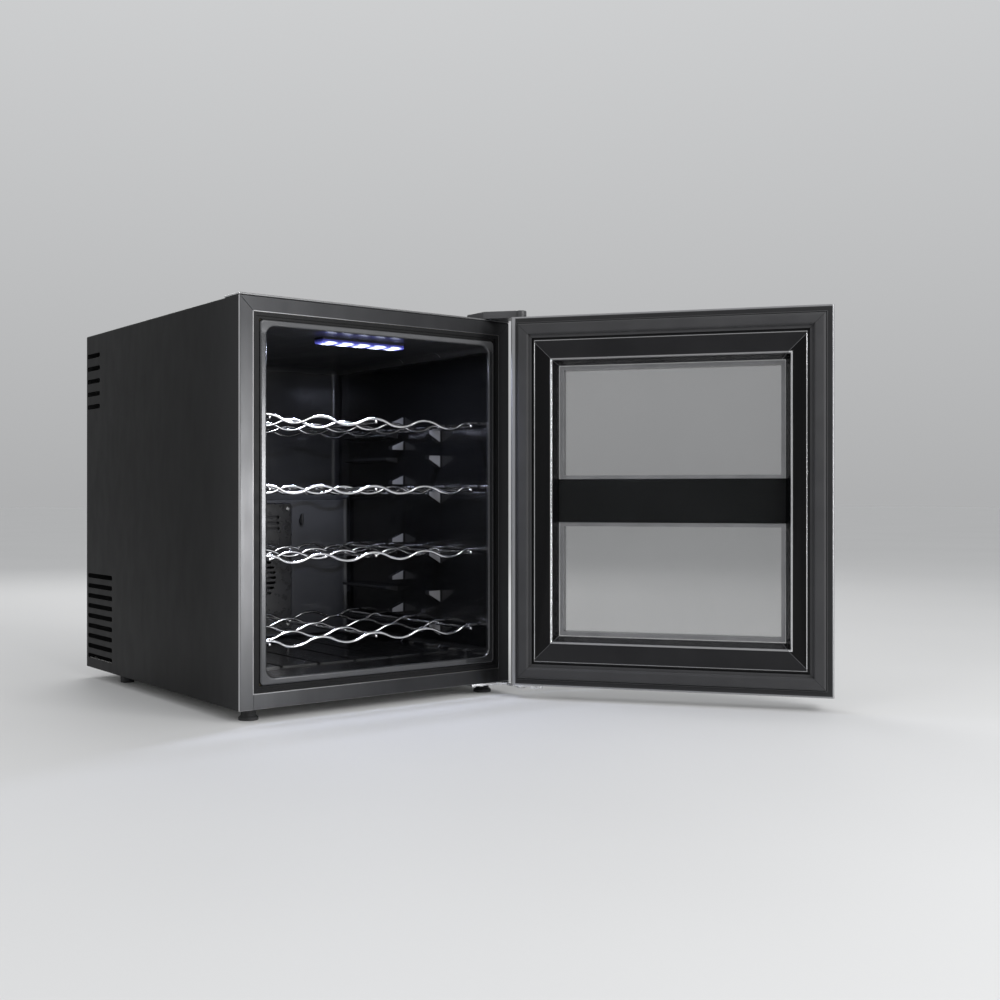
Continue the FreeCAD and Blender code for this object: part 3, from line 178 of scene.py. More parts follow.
def flange_colour(f):
    """Metallic flake with streaks, a painted sheen that grows towards the free side and painted highlights on
    the folded edges.
    """
    x, _, z = f.axes()
    beside = f.sums("SUBTRACT", HALF, f.sums("ABSOLUTE", x))
    below = f.sums("MINIMUM", f.sums("SUBTRACT", z, BASE), f.sums("SUBTRACT", TOP, z))
    inset = f.sums("MINIMUM", beside, below)
    flake = f.blend(f.span(f.cells(2600), 0.1, 0.6), (0.05, 0.0505, 0.053), (0.034, 0.0345, 0.036))
    streak = f.noise(30, 4, at=f.turned(scale=(1, 1, 0.12)))
    face = f.blend(f.span(streak, 0.35, 0.75, 0.0, 0.5), flake, (0.02, 0.02, 0.0215))
    # painted sheen: the flake is painted paler towards the free side and the middle height, standing in for
    # reflected light
    free = f.span(x, -205 * MM, 50 * MM, 1.0, 0.0)
    middle = f.span(f.sums("ABSOLUTE", f.sums("SUBTRACT", z, 205 * MM)), 60 * MM, 290 * MM, 1.0, 0.1)
    painted_sheen = f.sums("MULTIPLY", f.sums("MULTIPLY", free, free), middle)
    streaky_painted_sheen = f.sums("MULTIPLY", painted_sheen, f.span(streak, 0.3, 0.75, 1.0, 0.72))
    face = f.blend(streaky_painted_sheen, face, (0.17, 0.171, 0.176))
    # painted highlights: bright lines on the outer folded edges and along the opening edge, stronger towards
    # the free side
    inner = f.sums("MULTIPLY", f.span(inset, 18.3 * MM, 18.9 * MM), f.span(free, 0, 1, 0.12, 0.5))
    outer = f.sums("MAXIMUM", f.span(beside, 0.5 * MM, 1.2 * MM, 0.85, 0.0),
                   f.span(below, 0.4 * MM, 0.9 * MM, 0.2, 0.0))
    return f.blend(f.sums("MAXIMUM", outer, inner), face, (0.62, 0.62, 0.63))


def cabinet_paint():
    """The shell's one paint: painted lighter and metallic on the front flange as painted sheen, near black on
    the big panels as painted shade, and with a painted sheen on the panels just behind the flange.
    """
    f = Finish("cabinet_paint", specular=0.08)
    f.soften(0.7 * MM)
    depth = f.axes()[1]
    # the front flange and the big panels share one paint; the flange is painted lighter as painted sheen and
    # the panels near black as painted shade
    panel = f.span(depth, FRONT + 1.3 * MM, FRONT + 2.2 * MM)
    drift = f.noise(7, 3)
    body = f.blend(f.span(drift, 0.35, 0.65), (0.0028, 0.0028, 0.003), (0.0044, 0.0044, 0.0047))
    # painted sheen: the panels are painted paler towards the front edge
    near = f.span(depth, FRONT + 2.0 * MM, FRONT + 150 * MM, 1.0, 0.0)
    body = f.blend(f.sums("MULTIPLY", near, near), body, (0.02, 0.02, 0.021))
    f.colour(f.blend(panel, flange_colour(f), body))
    f.wire(f.span(panel, 0, 1, 0.85, 0.0), f.shader.inputs["Metallic"])
    smear = f.noise(55, 4, at=f.turned(scale=(1, 1, 0.35)))
    f.rough(smear, 0.32, 0.4)
    f.emboss(f.noise(900, 2), 0.02 * MM, 0.35)
    return f.material


def rail_paint():
    """The flange's paint on the folded trims, with its painted sheen and painted edge highlights."""
    f = Finish("rail_paint", metallic=0.85, specular=0.2)
    f.soften(0.6 * MM)
    f.colour(flange_colour(f))
    f.rough(f.noise(48, 4, at=f.turned(scale=(0.35, 1, 1))), 0.32, 0.4)
    f.emboss(f.noise(900, 2), 0.02 * MM, 0.35)
    return f.material


def rear_paint():
    f = Finish("rear_paint", specular=0.35)
    f.soften(0.4 * MM)
    f.colour(f.blend(f.span(f.noise(5, 4), 0.3, 0.7), (0.012, 0.012, 0.013), (0.021, 0.021, 0.022)))
    f.rough(f.noise(60, 4), 0.5, 0.62)
    f.emboss(f.noise(700, 3), 0.05 * MM, 0.5)
    return f.material


def zinc(name, tone, grain=(1, 1, 1)):
    """Bright zinc plate with faint crystals and handling marks."""
    f = Finish(name, metallic=1.0)
    f.soften(0.5 * MM)
    spangle = f.cells(160, feature="SMOOTH_F1")
    dark = tuple(c * 0.72 for c in tone)
    f.colour(f.blend(f.span(spangle, 0.15, 0.75), tone, dark))
    f.rough(f.noise(140, 5, at=f.turned(scale=grain)), 0.2, 0.36)
    f.emboss(f.noise(420, 4, at=f.turned(scale=grain)), 0.03 * MM, 0.4)
    return f.material


def chrome():
    """Bright plate on drawn wire: long faint draw marks and a few dull spots."""
    f = Finish("shelf_chrome", metallic=1.0)
    drawn = f.noise(500, 3, at=f.turned(scale=(0.12, 1, 1)))
    f.colour(f.blend(f.span(f.noise(35, 4), 0.35, 0.7), (0.72, 0.72, 0.73), (0.56, 0.56, 0.58)))
    f.rough(drawn, 0.07, 0.17)
    f.emboss(drawn, 0.012 * MM, 0.35)
    return f.material


def moulded(name, tone, grain=1500, depth=0.05, low=0.42, high=0.55, soft=0.5, specular=0.4):
    """Injection-moulded plastic with a fine spark-eroded grain."""
    f = Finish(name, specular=specular)
    f.soften(soft * MM)
    light = tuple(min(1.0, c * 1.35 + 0.002) for c in tone)
    f.colour(f.blend(f.span(f.noise(14, 4), 0.3, 0.7), tone, light))
    f.rough(f.noise(90, 4), low, high)
    f.emboss(f.cells(grain), depth * MM, 0.35)
    return f.material


def liner_gloss():
    """Vacuum-formed gloss sheet: slow ripples, faint orange peel and wiping marks, with painted shade on the
    side walls and low on the floor, a painted reflection on the step face and painted highlights on the lug
    faces.
    """
    f = Finish("liner_gloss", specular=0.42, coat=0.3, coat_roughness=0.1)
    f.soften(0.9 * MM)
    x, depth, z = f.axes()
    aside = f.sums("ABSOLUTE", x)
    lip = f.span(depth, FRONT + 2.0 * MM, FRONT + 4.5 * MM, 1.0, 0.0)
    f.wire(f.sums("MULTIPLY", lip, 0.8), f.shader.inputs["Metallic"])
    wall = f.blend(f.span(f.noise(6, 3), 0.3, 0.7), (0.014, 0.0143, 0.0155), (0.021, 0.0213, 0.023))
    # painted shade: darker on the side walls and low down on the floor
    wall = f.blend(f.span(aside, 174.0 * MM, 175.0 * MM), wall, (0.004, 0.0041, 0.0046))
    wall = f.blend(f.span(z, 56 * MM, 74 * MM, 1.0, 0.0), wall, (0.003, 0.003, 0.0034))
    # painted reflection: the step face is painted lighter grey, brightest near its top
    step = f.sums("MULTIPLY", f.span(depth, STEP_FACE - 3 * MM, STEP_FACE - 1 * MM),
                  f.span(z, 60 * MM, 275 * MM, 0.25, 1.0))
    step = f.sums("MULTIPLY", step, f.span(z, 275 * MM, 300 * MM, 1.0, 0.25))
    wall = f.blend(step, wall, (0.075, 0.076, 0.081))
    # painted highlights on the front faces of the shelf lugs
    lug = f.sums("MULTIPLY", f.span(aside, 153.4 * MM, 153.8 * MM),
                 f.span(aside, 172.6 * MM, 173.4 * MM, 1.0, 0.0))
    near, far = (f.span(f.sums("ABSOLUTE", f.sums("SUBTRACT", depth, face)), 0.5 * MM, 1.0 * MM, 1.0, 0.0)
                 for face in LUG_FACES)
    wall = f.blend(f.sums("MULTIPLY", lug, f.sums("MAXIMUM", near, far)), wall, (0.2, 0.2, 0.207))
    f.colour(f.blend(lip, wall, (0.085, 0.086, 0.09)))
    wiped = f.noise(30, 5, at=f.turned(scale=(1, 0.3, 1)))
    ceiling = f.span(z, 478 * MM, 486 * MM, 0.0, 0.35)
    f.wire(f.sums("ADD", f.span(wiped, 0.3, 0.7, 0.14, 0.26), ceiling), f.shader.inputs["Roughness"])
    f.emboss(f.noise(11, 2), 0.35 * MM, 0.25)
    f.emboss(f.noise(260, 2), 0.02 * MM, 0.4)
    return f.material


def frame_gloss():
    """Gloss black picture frame: painted highlights along the beads on its edges, stronger on the uprights,
    the uprights painted darker as painted shade, and a fine joint in each mitred corner.
    """
    f = Finish("frame_gloss", specular=0.14, coat=0.03, coat_roughness=0.05)
    f.soften(0.7 * MM)
    x, y, z = f.axes(door_place(f))
    left = f.sums("SUBTRACT", f.sums("ABSOLUTE", f.sums("ADD", x, 2.0 * MM)), 157.5 * MM)
    rise = f.sums("SUBTRACT", f.sums("ABSOLUTE", f.sums("SUBTRACT", z, DOOR_MIDDLE)), 192.75 * MM)
    inner = f.sums("MAXIMUM", left, rise)
    outer = f.sums("MAXIMUM", f.sums("SUBTRACT", f.sums("ABSOLUTE", x), 179.2 * MM),
                   f.sums("SUBTRACT", f.sums("ABSOLUTE", f.sums("SUBTRACT", z, DOOR_MIDDLE)), 219.45 * MM))
    near_face = f.span(y, -262.0 * MM, -261.0 * MM)
    corner = f.sums("SUBTRACT", f.sums("ABSOLUTE", x), f.sums("ABSOLUTE", f.sums("SUBTRACT", z, DOOR_MIDDLE)))
    upright = f.span(corner, -38.8 * MM, -36.8 * MM)
    # painted highlights along the beads on the inner and outer edges, stronger on the uprights
    bead = f.sums("MAXIMUM", f.span(f.sums("ABSOLUTE", inner), 0.9 * MM, 1.5 * MM, 1.0, 0.0),
                  f.span(f.sums("ABSOLUTE", outer), 0.6 * MM, 1.3 * MM, 1.0, 0.0))
    bead = f.sums("MULTIPLY", f.sums("MULTIPLY", bead, near_face), f.span(upright, 0, 1, 0.35, 1.0))
    joint = f.span(f.sums("ABSOLUTE", f.sums("ADD", corner, 37.8 * MM)), 0.2 * MM, 0.7 * MM, 1.0, 0.0)
    ripple = f.noise(9, 3)
    level = f.blend(f.span(ripple, 0.3, 0.7), (0.011, 0.011, 0.012), (0.018, 0.018, 0.0193))
    # painted shade: the uprights are painted darker than the top and bottom rails
    black = f.blend(upright, level, (0.0025, 0.0025, 0.0028))
    painted_bead_glint = f.blend(bead, black, (0.75, 0.75, 0.76))
    f.colour(f.blend(f.sums("MULTIPLY", joint, 0.75), painted_bead_glint, (0.1, 0.1, 0.105)))
    f.wire(f.sums("MULTIPLY", bead, 0.8), f.shader.inputs["Metallic"])
    f.rough(f.noise(40, 5), 0.1, 0.2)
    f.emboss(ripple, 0.25 * MM, 0.25)
    f.emboss(f.sums("SUBTRACT", 1.0, joint), 0.15 * MM, 0.5)
    return f.material


def band_satin():
    """Satin black box behind the panes."""
    f = Finish("band_satin", specular=0.06)
    f.soften(0.5 * MM)
    f.colour(f.blend(f.span(f.noise(9, 3), 0.3, 0.7), (0.005, 0.005, 0.0054), (0.008, 0.008, 0.0085)))
    f.rough(f.noise(60, 4), 0.4, 0.52)
    f.emboss(f.noise(700, 3), 0.03 * MM, 0.35)
    return f.material


def door_paint():
    """Satin black on the door's frame, with a bright metal rim round its inner face and along the hinge side
    that carries a painted highlight on its rounding.
    """
    f = Finish("door_paint", specular=0.3, coat=0.1, coat_roughness=0.3)
    f.soften(1.0 * MM)
    x, y, z = f.axes(door_place(f))
    out = f.sums("MAXIMUM", f.sums("SUBTRACT", f.sums("ABSOLUTE", x), HALF),
                 f.sums("SUBTRACT", f.sums("ABSOLUTE", f.sums("SUBTRACT", z, DOOR_MIDDLE)), 252.75 * MM))
    # bright metal rim with a painted highlight on its rounding, round the inner face and along the hinge side
    rim = f.span(out, -2.6 * MM, -1.4 * MM)
    hinge_side = f.span(x, 205.6 * MM, 207.0 * MM)
    body = f.blend(f.span(f.noise(10, 4), 0.3, 0.7), (0.013, 0.013, 0.014), (0.02, 0.02, 0.0215))
    near_face = f.span(y, DOOR_FACE - 7 * MM, DOOR_FACE - 4 * MM)
    bright = f.sums("MULTIPLY", f.sums("MAXIMUM", rim, hinge_side), near_face)
    f.colour(f.blend(bright, body, (0.33, 0.33, 0.34)))
    f.wire(f.span(bright, 0, 1, 0.2, 0.85), f.shader.inputs["Metallic"])
    f.rough(f.noise(70, 4), 0.32, 0.42)
    f.emboss(f.noise(850, 2), 0.02 * MM, 0.35)
    return f.material


def seal_rubber():
    """Soft dark rubber with a bloom and a welded mitre in each corner."""
    f = Finish("seal_rubber", specular=0.26)
    x, _, z = f.axes(door_place(f))
    across = f.sums("SUBTRACT", f.sums("ABSOLUTE", x), 204.5 * MM)
    up = f.sums("SUBTRACT", f.sums("ABSOLUTE", f.sums("SUBTRACT", z, DOOR_MIDDLE)), 244.75 * MM)
    weld = f.span(f.sums("ABSOLUTE", f.sums("SUBTRACT", across, up)), 0.25 * MM, 0.8 * MM, 1.0, 0.0)
    bloom = f.noise(28, 5)
    rubber = f.blend(f.span(bloom, 0.35, 0.7), (0.031, 0.031, 0.033), (0.038, 0.038, 0.04))
    f.colour(f.blend(weld, rubber, (0.012, 0.012, 0.013)))
    f.rough(bloom, 0.48, 0.62)
    f.put(Sheen_Weight=0.12)
    f.emboss(f.noise(650, 3), 0.05 * MM, 0.45)
    f.emboss(f.sums("SUBTRACT", 1.0, weld), 0.3 * MM, 0.6)
    return f.material


def pane_inner():
    """Clear pane with a trace of green and wiping haze."""
    f = Finish("inner_pane", specular=0.32)
    haze = f.noise(18, 5, at=f.turned(scale=(1, 1, 0.4)))
    f.colour(f.blend(f.span(haze, 0.3, 0.7), (0.014, 0.018, 0.017), (0.02, 0.025, 0.024)))
    f.rough(haze, 0.02, 0.05)
    f.wire(f.span(haze, 0.3, 0.8, 0.06, 0.08), f.shader.inputs["Alpha"])
    return f.material


def pane_outer():
    """Tinted front pane with a black printed border and band, printed thinner over the display."""
    f = Finish("front_pane", specular=0.6, coat=0.4, coat_roughness=0.02)
    x, _, z = f.axes(door_place(f))
    off = f.sums("SUBTRACT", f.sums("ABSOLUTE", f.sums("ADD", x, 2.0 * MM)), 160.5 * MM)
    high = f.sums("SUBTRACT", f.sums("ABSOLUTE", f.sums("SUBTRACT", z, DOOR_MIDDLE)), 197.0 * MM)
    band = f.sums("SUBTRACT", 30.0 * MM, f.sums("ABSOLUTE", f.sums("SUBTRACT", z, BAND_MIDDLE)))
    edge = f.sums("MAXIMUM", f.sums("MAXIMUM", off, high), band)
    printed = f.span(edge, -0.3 * MM, 0.3 * MM)
    smoke = f.blend(f.span(f.noise(12, 4), 0.3, 0.7), (0.05, 0.052, 0.055), (0.058, 0.06, 0.063))
    f.colour(f.blend(printed, smoke, (0.004, 0.004, 0.0045)))
    thin = f.sums("MAXIMUM", f.sums("SUBTRACT", f.sums("ABSOLUTE", x), 96.0 * MM),
                  f.sums("SUBTRACT", f.sums("ABSOLUTE", f.sums("SUBTRACT", z, BAND_MIDDLE)), 9.0 * MM))
    cover = f.sums("SUBTRACT", 1.0, f.span(thin, -2.0 * MM, 0.5 * MM, 0.6, 0.0))
    f.wire(f.sums("MULTIPLY", f.span(printed, 0, 1, 0.22, 1.0), cover), f.shader.inputs["Alpha"])
    f.rough(f.noise(22, 5), 0.03, 0.07)
    return f.material


def aluminium(name, tone, line=(1, 1, 0.04)):
    """Extruded aluminium with die lines."""
    f = Finish(name, metallic=1.0)
    f.soften(0.3 * MM)
    lines = f.noise(900, 2, at=f.turned(scale=line))
    dark = tuple(c * 0.8 for c in tone)
    f.colour(f.blend(f.span(f.noise(20, 4), 0.3, 0.7), tone, dark))
    f.rough(lines, 0.3, 0.46)
    f.emboss(lines, 0.03 * MM, 0.4)
    return f.material


def foam():
    """Rigid blown foam with a skin and open cells."""
    f = Finish("blown_foam", specular=0.2)
    cells = f.cells(420)
    f.colour(f.blend(f.span(cells, 0.1, 0.6), (0.62, 0.52, 0.3), (0.8, 0.72, 0.5)))
    f.rough(f.noise(30, 4), 0.75, 0.9)
    f.emboss(cells, 0.4 * MM, 0.6)
    return f.material


def board():
    """Green circuit board with copper tracks and solder."""
    f = Finish("circuit_board", specular=0.5, coat=0.2, coat_roughness=0.15)
    tracks = f.cells(180, feature="DISTANCE_TO_EDGE")
    track = f.span(tracks, 0.05, 0.09, 1.0, 0.0)
    f.colour(f.blend(track, (0.008, 0.07, 0.028), (0.03, 0.17, 0.07)))
    f.rough(f.noise(60, 4), 0.28, 0.42)
    f.emboss(track, 0.05 * MM, 0.6)
    return f.material


def components():
    """Dark cases with brighter patches here and there."""
    f = Finish("board_components", specular=0.45)
    f.soften(0.4 * MM)
    patch = f.noise(25, 2)
    f.colour(f.blend(f.span(patch, 0.45, 0.55), (0.016, 0.017, 0.02), (0.045, 0.05, 0.062)))
    f.rough(f.noise(80, 4), 0.35, 0.5)
    f.emboss(f.noise(600, 3), 0.04 * MM, 0.4)
    return f.material


def ceramic():
    f = Finish("module_ceramic", specular=0.4)
    f.colour(f.blend(f.span(f.noise(60, 5), 0.3, 0.7), (0.72, 0.72, 0.69), (0.85, 0.85, 0.82)))
    f.rough(f.noise(200, 4), 0.45, 0.6)
    f.emboss(f.noise(900, 3), 0.03 * MM, 0.4)
    return f.material


def lamp_dark():
    f = Finish("lamp_tray", specular=0.2)
    f.soften(0.4 * MM)
    f.colour(f.blend(f.span(f.noise(40, 4), 0.3, 0.7), (0.012, 0.012, 0.02), (0.02, 0.02, 0.032)))
    f.rough(f.noise(120, 4), 0.5, 0.62)
    f.emboss(f.cells(1400), 0.04 * MM, 0.35)
    return f.material


def lamp_clear():
    """Frosted cover lit from inside: near white under each diode, violet blue between and dark at its rim."""
    f = Finish("lamp_cover", specular=0.3)
    x, _, z = f.axes()
    spot = f.sums("PINGPONG", f.sums("ADD", x, LAMP_PITCH * 4), LAMP_PITCH / 2)
    low = f.span(z, LAMP_MIDDLE.z - 6.6 * MM, LAMP_MIDDLE.z - 4.2 * MM, 1.0, 0.0)
    glow = f.sums("MULTIPLY", f.span(spot, 4.0 * MM, 11.0 * MM, 1.0, 0.0), low)
    ends = f.span(f.sums("ABSOLUTE", x), 54 * MM, 65 * MM, 1.0, 0.15)
    glow = f.sums("MULTIPLY", glow, ends)
    tint = f.blend(glow, (0.07, 0.075, 0.4), (0.7, 0.76, 1.0))
    f.colour(tint)
    f.wire(tint, f.shader.inputs["Emission Color"])
    f.wire(f.sums("MULTIPLY", f.span(glow, 0, 1, 1.0, 4.5), f.span(low, 0, 1, 0.06, 1.0)),
           f.shader.inputs["Emission Strength"])
    f.wire(f.span(f.noise(80, 3), 0.3, 0.7, 0.88, 0.93), f.shader.inputs["Alpha"])
    f.rough(f.noise(150, 3), 0.2, 0.32)
    return f.material


def lit(name, tone, strength):
    """A lit diode or display bar, with a fine grain in its light."""
    f = Finish(name, roughness=0.3)
    grain = f.span(f.noise(900, 2), 0.3, 0.7)
    warm = f.blend(grain, tone, tuple(min(1.0, c * 1.15) for c in tone))
    f.colour(warm)
    f.wire(warm, f.shader.inputs["Emission Color"])
    f.wire(f.span(grain, 0, 1, strength * 0.85, strength), f.shader.inputs["Emission Strength"])
    return f.material


FINISHES = {
    "cabinet_paint": cabinet_paint(),
    "rail_paint": rail_paint(),
    "rear_paint": rear_paint(),
    "plated": zinc("plated_steel", (0.62, 0.62, 0.6)),
    "bright_zinc": zinc("bright_zinc", (0.74, 0.74, 0.73), (1, 1, 0.3)),
    "hinge_bright": zinc("hinge_bright", (0.8, 0.8, 0.81), (0.3, 1, 1)),
    "hinge_dark": moulded("hinge_dark", (0.05, 0.05, 0.053), depth=0.03, low=0.3, high=0.42, soft=0.7),
    "chrome": chrome(),
    "breaker": moulded("breaker_black", (0.004, 0.004, 0.0044), 1700, 0.03, 0.3, 0.42, 0.5, 0.15),
    "cover_black": moulded("cover_black", (0.011, 0.011, 0.012), 1300, 0.05, 0.24, 0.36, 0.8, 0.5),
    "fan_black": moulded("fan_black", (0.012, 0.012, 0.012), 1200, 0.06, 0.45, 0.6),
    "foot_black": moulded("foot_black", (0.016, 0.016, 0.017), 1100, 0.07, 0.55, 0.7, 0.6),
    "bush_nylon": moulded("bush_nylon", (0.6, 0.6, 0.57), 900, 0.04, 0.35, 0.5),
    "liner": liner_gloss(),
    "frame_gloss": frame_gloss(),
    "band_satin": band_satin(),
    "door_paint": door_paint(),
    "seal": seal_rubber(),
    "inner_pane": pane_inner(),
    "front_pane": pane_outer(),
    "sink": aluminium("sink_aluminium", (0.72, 0.73, 0.74)),
    "spacer": aluminium("spacer_aluminium", (0.36, 0.36, 0.37)),
    "foam": foam(),
    "board": board(),
    "components": components(),
    "ceramic": ceramic(),
    "lamp_tray": lamp_dark(),
    "lamp_cover": lamp_clear(),
    "diode": lit("diode_light", (0.75, 0.82, 1.0), 14.0),
    "digit": lit("digit_light", (0.35, 0.6, 1.0), 3.5),
    "magnet": moulded("magnet_strip", (0.03, 0.028, 0.026), 700, 0.08, 0.6, 0.75),
}

NODE_FINISH = {
    "cabinet_shell": "cabinet_paint", "top_front_trim": "rail_paint", "bottom_front_rail": "rail_paint",
    "base_panel": "plated", "rear_bulkhead": "plated", "rear_cover": "rear_paint",
    "rear_cover_screws": "bright_zinc", "cover_screws": "bright_zinc", "sink_bolts": "bright_zinc",
    "top_hinge_screws": "bright_zinc", "bottom_hinge_screws": "bright_zinc", "top_hinge_pin": "bright_zinc",
    "bottom_hinge_pin": "bright_zinc", "bottom_hinge_bracket": "hinge_bright",
    "door_stop_plate": "hinge_bright",
    "top_hinge_bracket": "hinge_dark", "top_hinge_cover": "hinge_dark", "breaker_strip": "breaker",
    "inner_liner": "liner", "insulation_foam": "foam", "cold_fan_cover": "cover_black",
    "cold_fan_frame": "fan_black", "cold_fan_rotor": "fan_black", "hot_fan_frame": "fan_black",
    "hot_fan_rotor": "fan_black", "mains_inlet": "fan_black", "temperature_probe": "fan_black",
    "cold_sink": "sink", "hot_sink": "sink", "thermoelectric_module": "ceramic",
    "power_board": "board", "control_board": "board", "lamp_board": "board", "power_components": "components",
    "display_module": "components", "lamp_base": "lamp_tray", "lamp_lens": "lamp_cover",
    "foot_front_left": "foot_black", "foot_front_right": "foot_black", "foot_rear_left": "foot_black",
    "foot_rear_right": "foot_black", "shelf_1": "chrome", "shelf_2": "chrome", "shelf_3": "chrome",
    "shelf_4": "chrome", "door_frame": "door_paint", "door_inner_frame": "frame_gloss",
    "door_outer_glass": "front_pane", "door_inner_glass": "inner_pane", "door_gasket": "seal",
    "gasket_magnets": "magnet", "window_spacer_upper": "spacer", "window_spacer_lower": "spacer",
    "control_housing": "band_satin", "door_bush_top": "bush_nylon", "door_bush_bottom": "bush_nylon",
}


def dress(obj, finish):
    obj.data.materials.clear()
    obj.data.materials.append(FINISHES[finish])


for node_name, node_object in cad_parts.items():
    dress(node_object, NODE_FINISH[node_name])


# ---- hand tools ----
def let_go():
    """Leaves edit mode and selects nothing."""
    if bpy.context.object and bpy.context.object.mode != "OBJECT":
        bpy.ops.object.mode_set(mode="OBJECT")
    bpy.ops.object.select_all(action="DESELECT")


def take(obj):
    let_go()
    obj.select_set(True)
    bpy.context.view_layer.objects.active = obj
    return obj


def cube(name, low, high):
    """A cube primitive, sized and placed between two corners."""
    let_go()
    low, high = Vector(low), Vector(high)
    bpy.ops.mesh.primitive_cube_add(size=1, location=(low + high) / 2)
    made = bpy.context.object
    made.name = name
    made.scale = high - low
    bpy.ops.object.transform_apply(location=True, rotation=True, scale=True)
    return made


def pick(obj, kind, test):
    """Opens the piece in edit mode with only the faces or edges that pass the test selected."""
    take(obj)
    bpy.ops.object.mode_set(mode="EDIT")
    bpy.ops.mesh.select_mode(type=kind)
    bpy.ops.mesh.select_all(action="DESELECT")
    work = bmesh.from_edit_mesh(obj.data)
    for item in (work.faces if kind == "FACE" else work.edges):
        item.select_set(bool(test(item)))
    work.select_flush_mode()
    bmesh.update_edit_mesh(obj.data)


def face_middle(face):
    return face.calc_center_median()


def bake_modifier(obj, kind, **settings):
    take(obj)
    made = obj.modifiers.new(kind.title(), kind)
    for key, value in settings.items():
        setattr(made, key, value)
    bpy.ops.object.modifier_apply(modifier=made.name)


def smooth(obj, degrees=40):
    take(obj)
    bpy.ops.object.shade_smooth_by_angle(angle=math.radians(degrees))


def swing_open(obj):
    """Turns a piece that was shaped on the shut door to where the open door is."""
    take(obj)
    obj.data.transform(Matrix.Translation(PIN) @ Matrix.Rotation(SWING, 4, "Z") @ Matrix.Translation(-PIN))
    obj.data.update()


def joined(name, pieces):
    let_go()
    for piece in pieces:
        piece.select_set(True)
    bpy.context.view_layer.objects.active = pieces[0]
    if len(pieces) > 1:
        bpy.ops.object.join()
    made = bpy.context.object
    made.name = name
    return made


# ---- the door's seal ----
def door_seal():
    """One extruded ring with mitred corners: two thin lips, two grooves and the broad magnet sleeve."""
    let_go()
    wide, high = 409.0 * MM, 489.5 * MM
    bpy.ops.mesh.primitive_plane_add(size=1, location=(0, DOOR_FACE + 0.05 * MM, DOOR_MIDDLE),
                                     rotation=(math.radians(-90), 0, 0))
    seal = bpy.context.object
    seal.name = "door_seal"
    seal.scale = (wide, high, 1)
    bpy.ops.object.transform_apply(location=True, rotation=True, scale=True)
    bpy.ops.object.mode_set(mode="EDIT")
    bpy.ops.mesh.select_all(action="SELECT")
    for step in (1.4, 0.9, 15.4, 0.9, 1.4):
        bpy.ops.mesh.inset(thickness=step * MM, depth=0)
    bpy.ops.mesh.delete(type="FACE")
    bake_modifier(seal, "SOLIDIFY", thickness=1.6 * MM, offset=1.0)
    top = max(v.co.y for v in seal.data.vertices)

    def ring(face):
        middle = face_middle(face)
        inset = min(wide / 2 - abs(middle.x), high / 2 - abs(middle.z - DOOR_MIDDLE))
        return inset if middle.y > top - 0.1 * MM else -1

    for low, far, rise in ((0.3, 1.2, 1.0), (18.8, 19.8, 1.4), (3.0, 17.0, 5.9)):
        pick(seal, "FACE", lambda f: low * MM < ring(f) < far * MM)
        bpy.ops.mesh.extrude_region_move(TRANSFORM_OT_translate={"value": (0, rise * MM, 0)})
    crown = max(v.co.y for v in seal.data.vertices)
    pick(seal, "EDGE", lambda e: all(v.co.y > crown - 0.1 * MM for v in e.verts) and len(e.link_faces) == 2
         and abs(e.calc_face_angle(0)) > 1.2)
    bpy.ops.mesh.bevel(offset=3.6 * MM, segments=6, affect="EDGES")
    let_go()
    bake_modifier(seal, "BEVEL", width=0.35 * MM, segments=3, limit_method="ANGLE",
                  angle_limit=math.radians(50))
    smooth(seal, 35)
    swing_open(seal)
    dress(seal, "seal")
    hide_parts("door_gasket")
    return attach(seal, "door")


# ---- the frame round the glass ----
def glass_frame():
    """Picture frame with a raised bead on each edge, a sunk flat band and a wall that slopes to the pane."""
    back = DOOR_FACE - 17.0 * MM
    ring = cube("glass_frame", (-FRAME_SIDE, back, DOOR_BOTTOM + FRAME_END),
                (FRAME_SIDE, FRAME_FACE, TOP - FRAME_END))
    clear_low = Vector((CLEAR_LEFT, back - 0.5 * MM, DOOR_BOTTOM + CLEAR_END))
    clear_high = Vector((CLEAR_RIGHT, FRAME_FACE + 0.5 * MM, TOP - CLEAR_END))
    opening = cube("opening", clear_low, clear_high)
    wide, _, high = clear_high - clear_low
    pick(opening, "FACE", lambda f: f.normal.y < -0.9)
    bpy.ops.transform.resize(value=((wide - 15.0 * MM) / wide, 1, (high - 15.0 * MM) / high))
    let_go()
    bake_modifier(ring, "BOOLEAN", operation="DIFFERENCE", solver="EXACT", object=opening)
    bpy.data.objects.remove(opening)
    pick(ring, "FACE", lambda f: f.normal.y > 0.9)
    bpy.ops.mesh.inset(thickness=1.7 * MM, depth=0)
    bpy.ops.mesh.inset(thickness=0.6 * MM, depth=-0.7 * MM)
    let_go()
    bake_modifier(ring, "BEVEL", width=0.5 * MM, segments=4, limit_method="ANGLE",
                  angle_limit=math.radians(35))
    smooth(ring, 35)
    swing_open(ring)
    dress(ring, "frame_gloss")
    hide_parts("door_inner_frame")
    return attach(ring, "door")


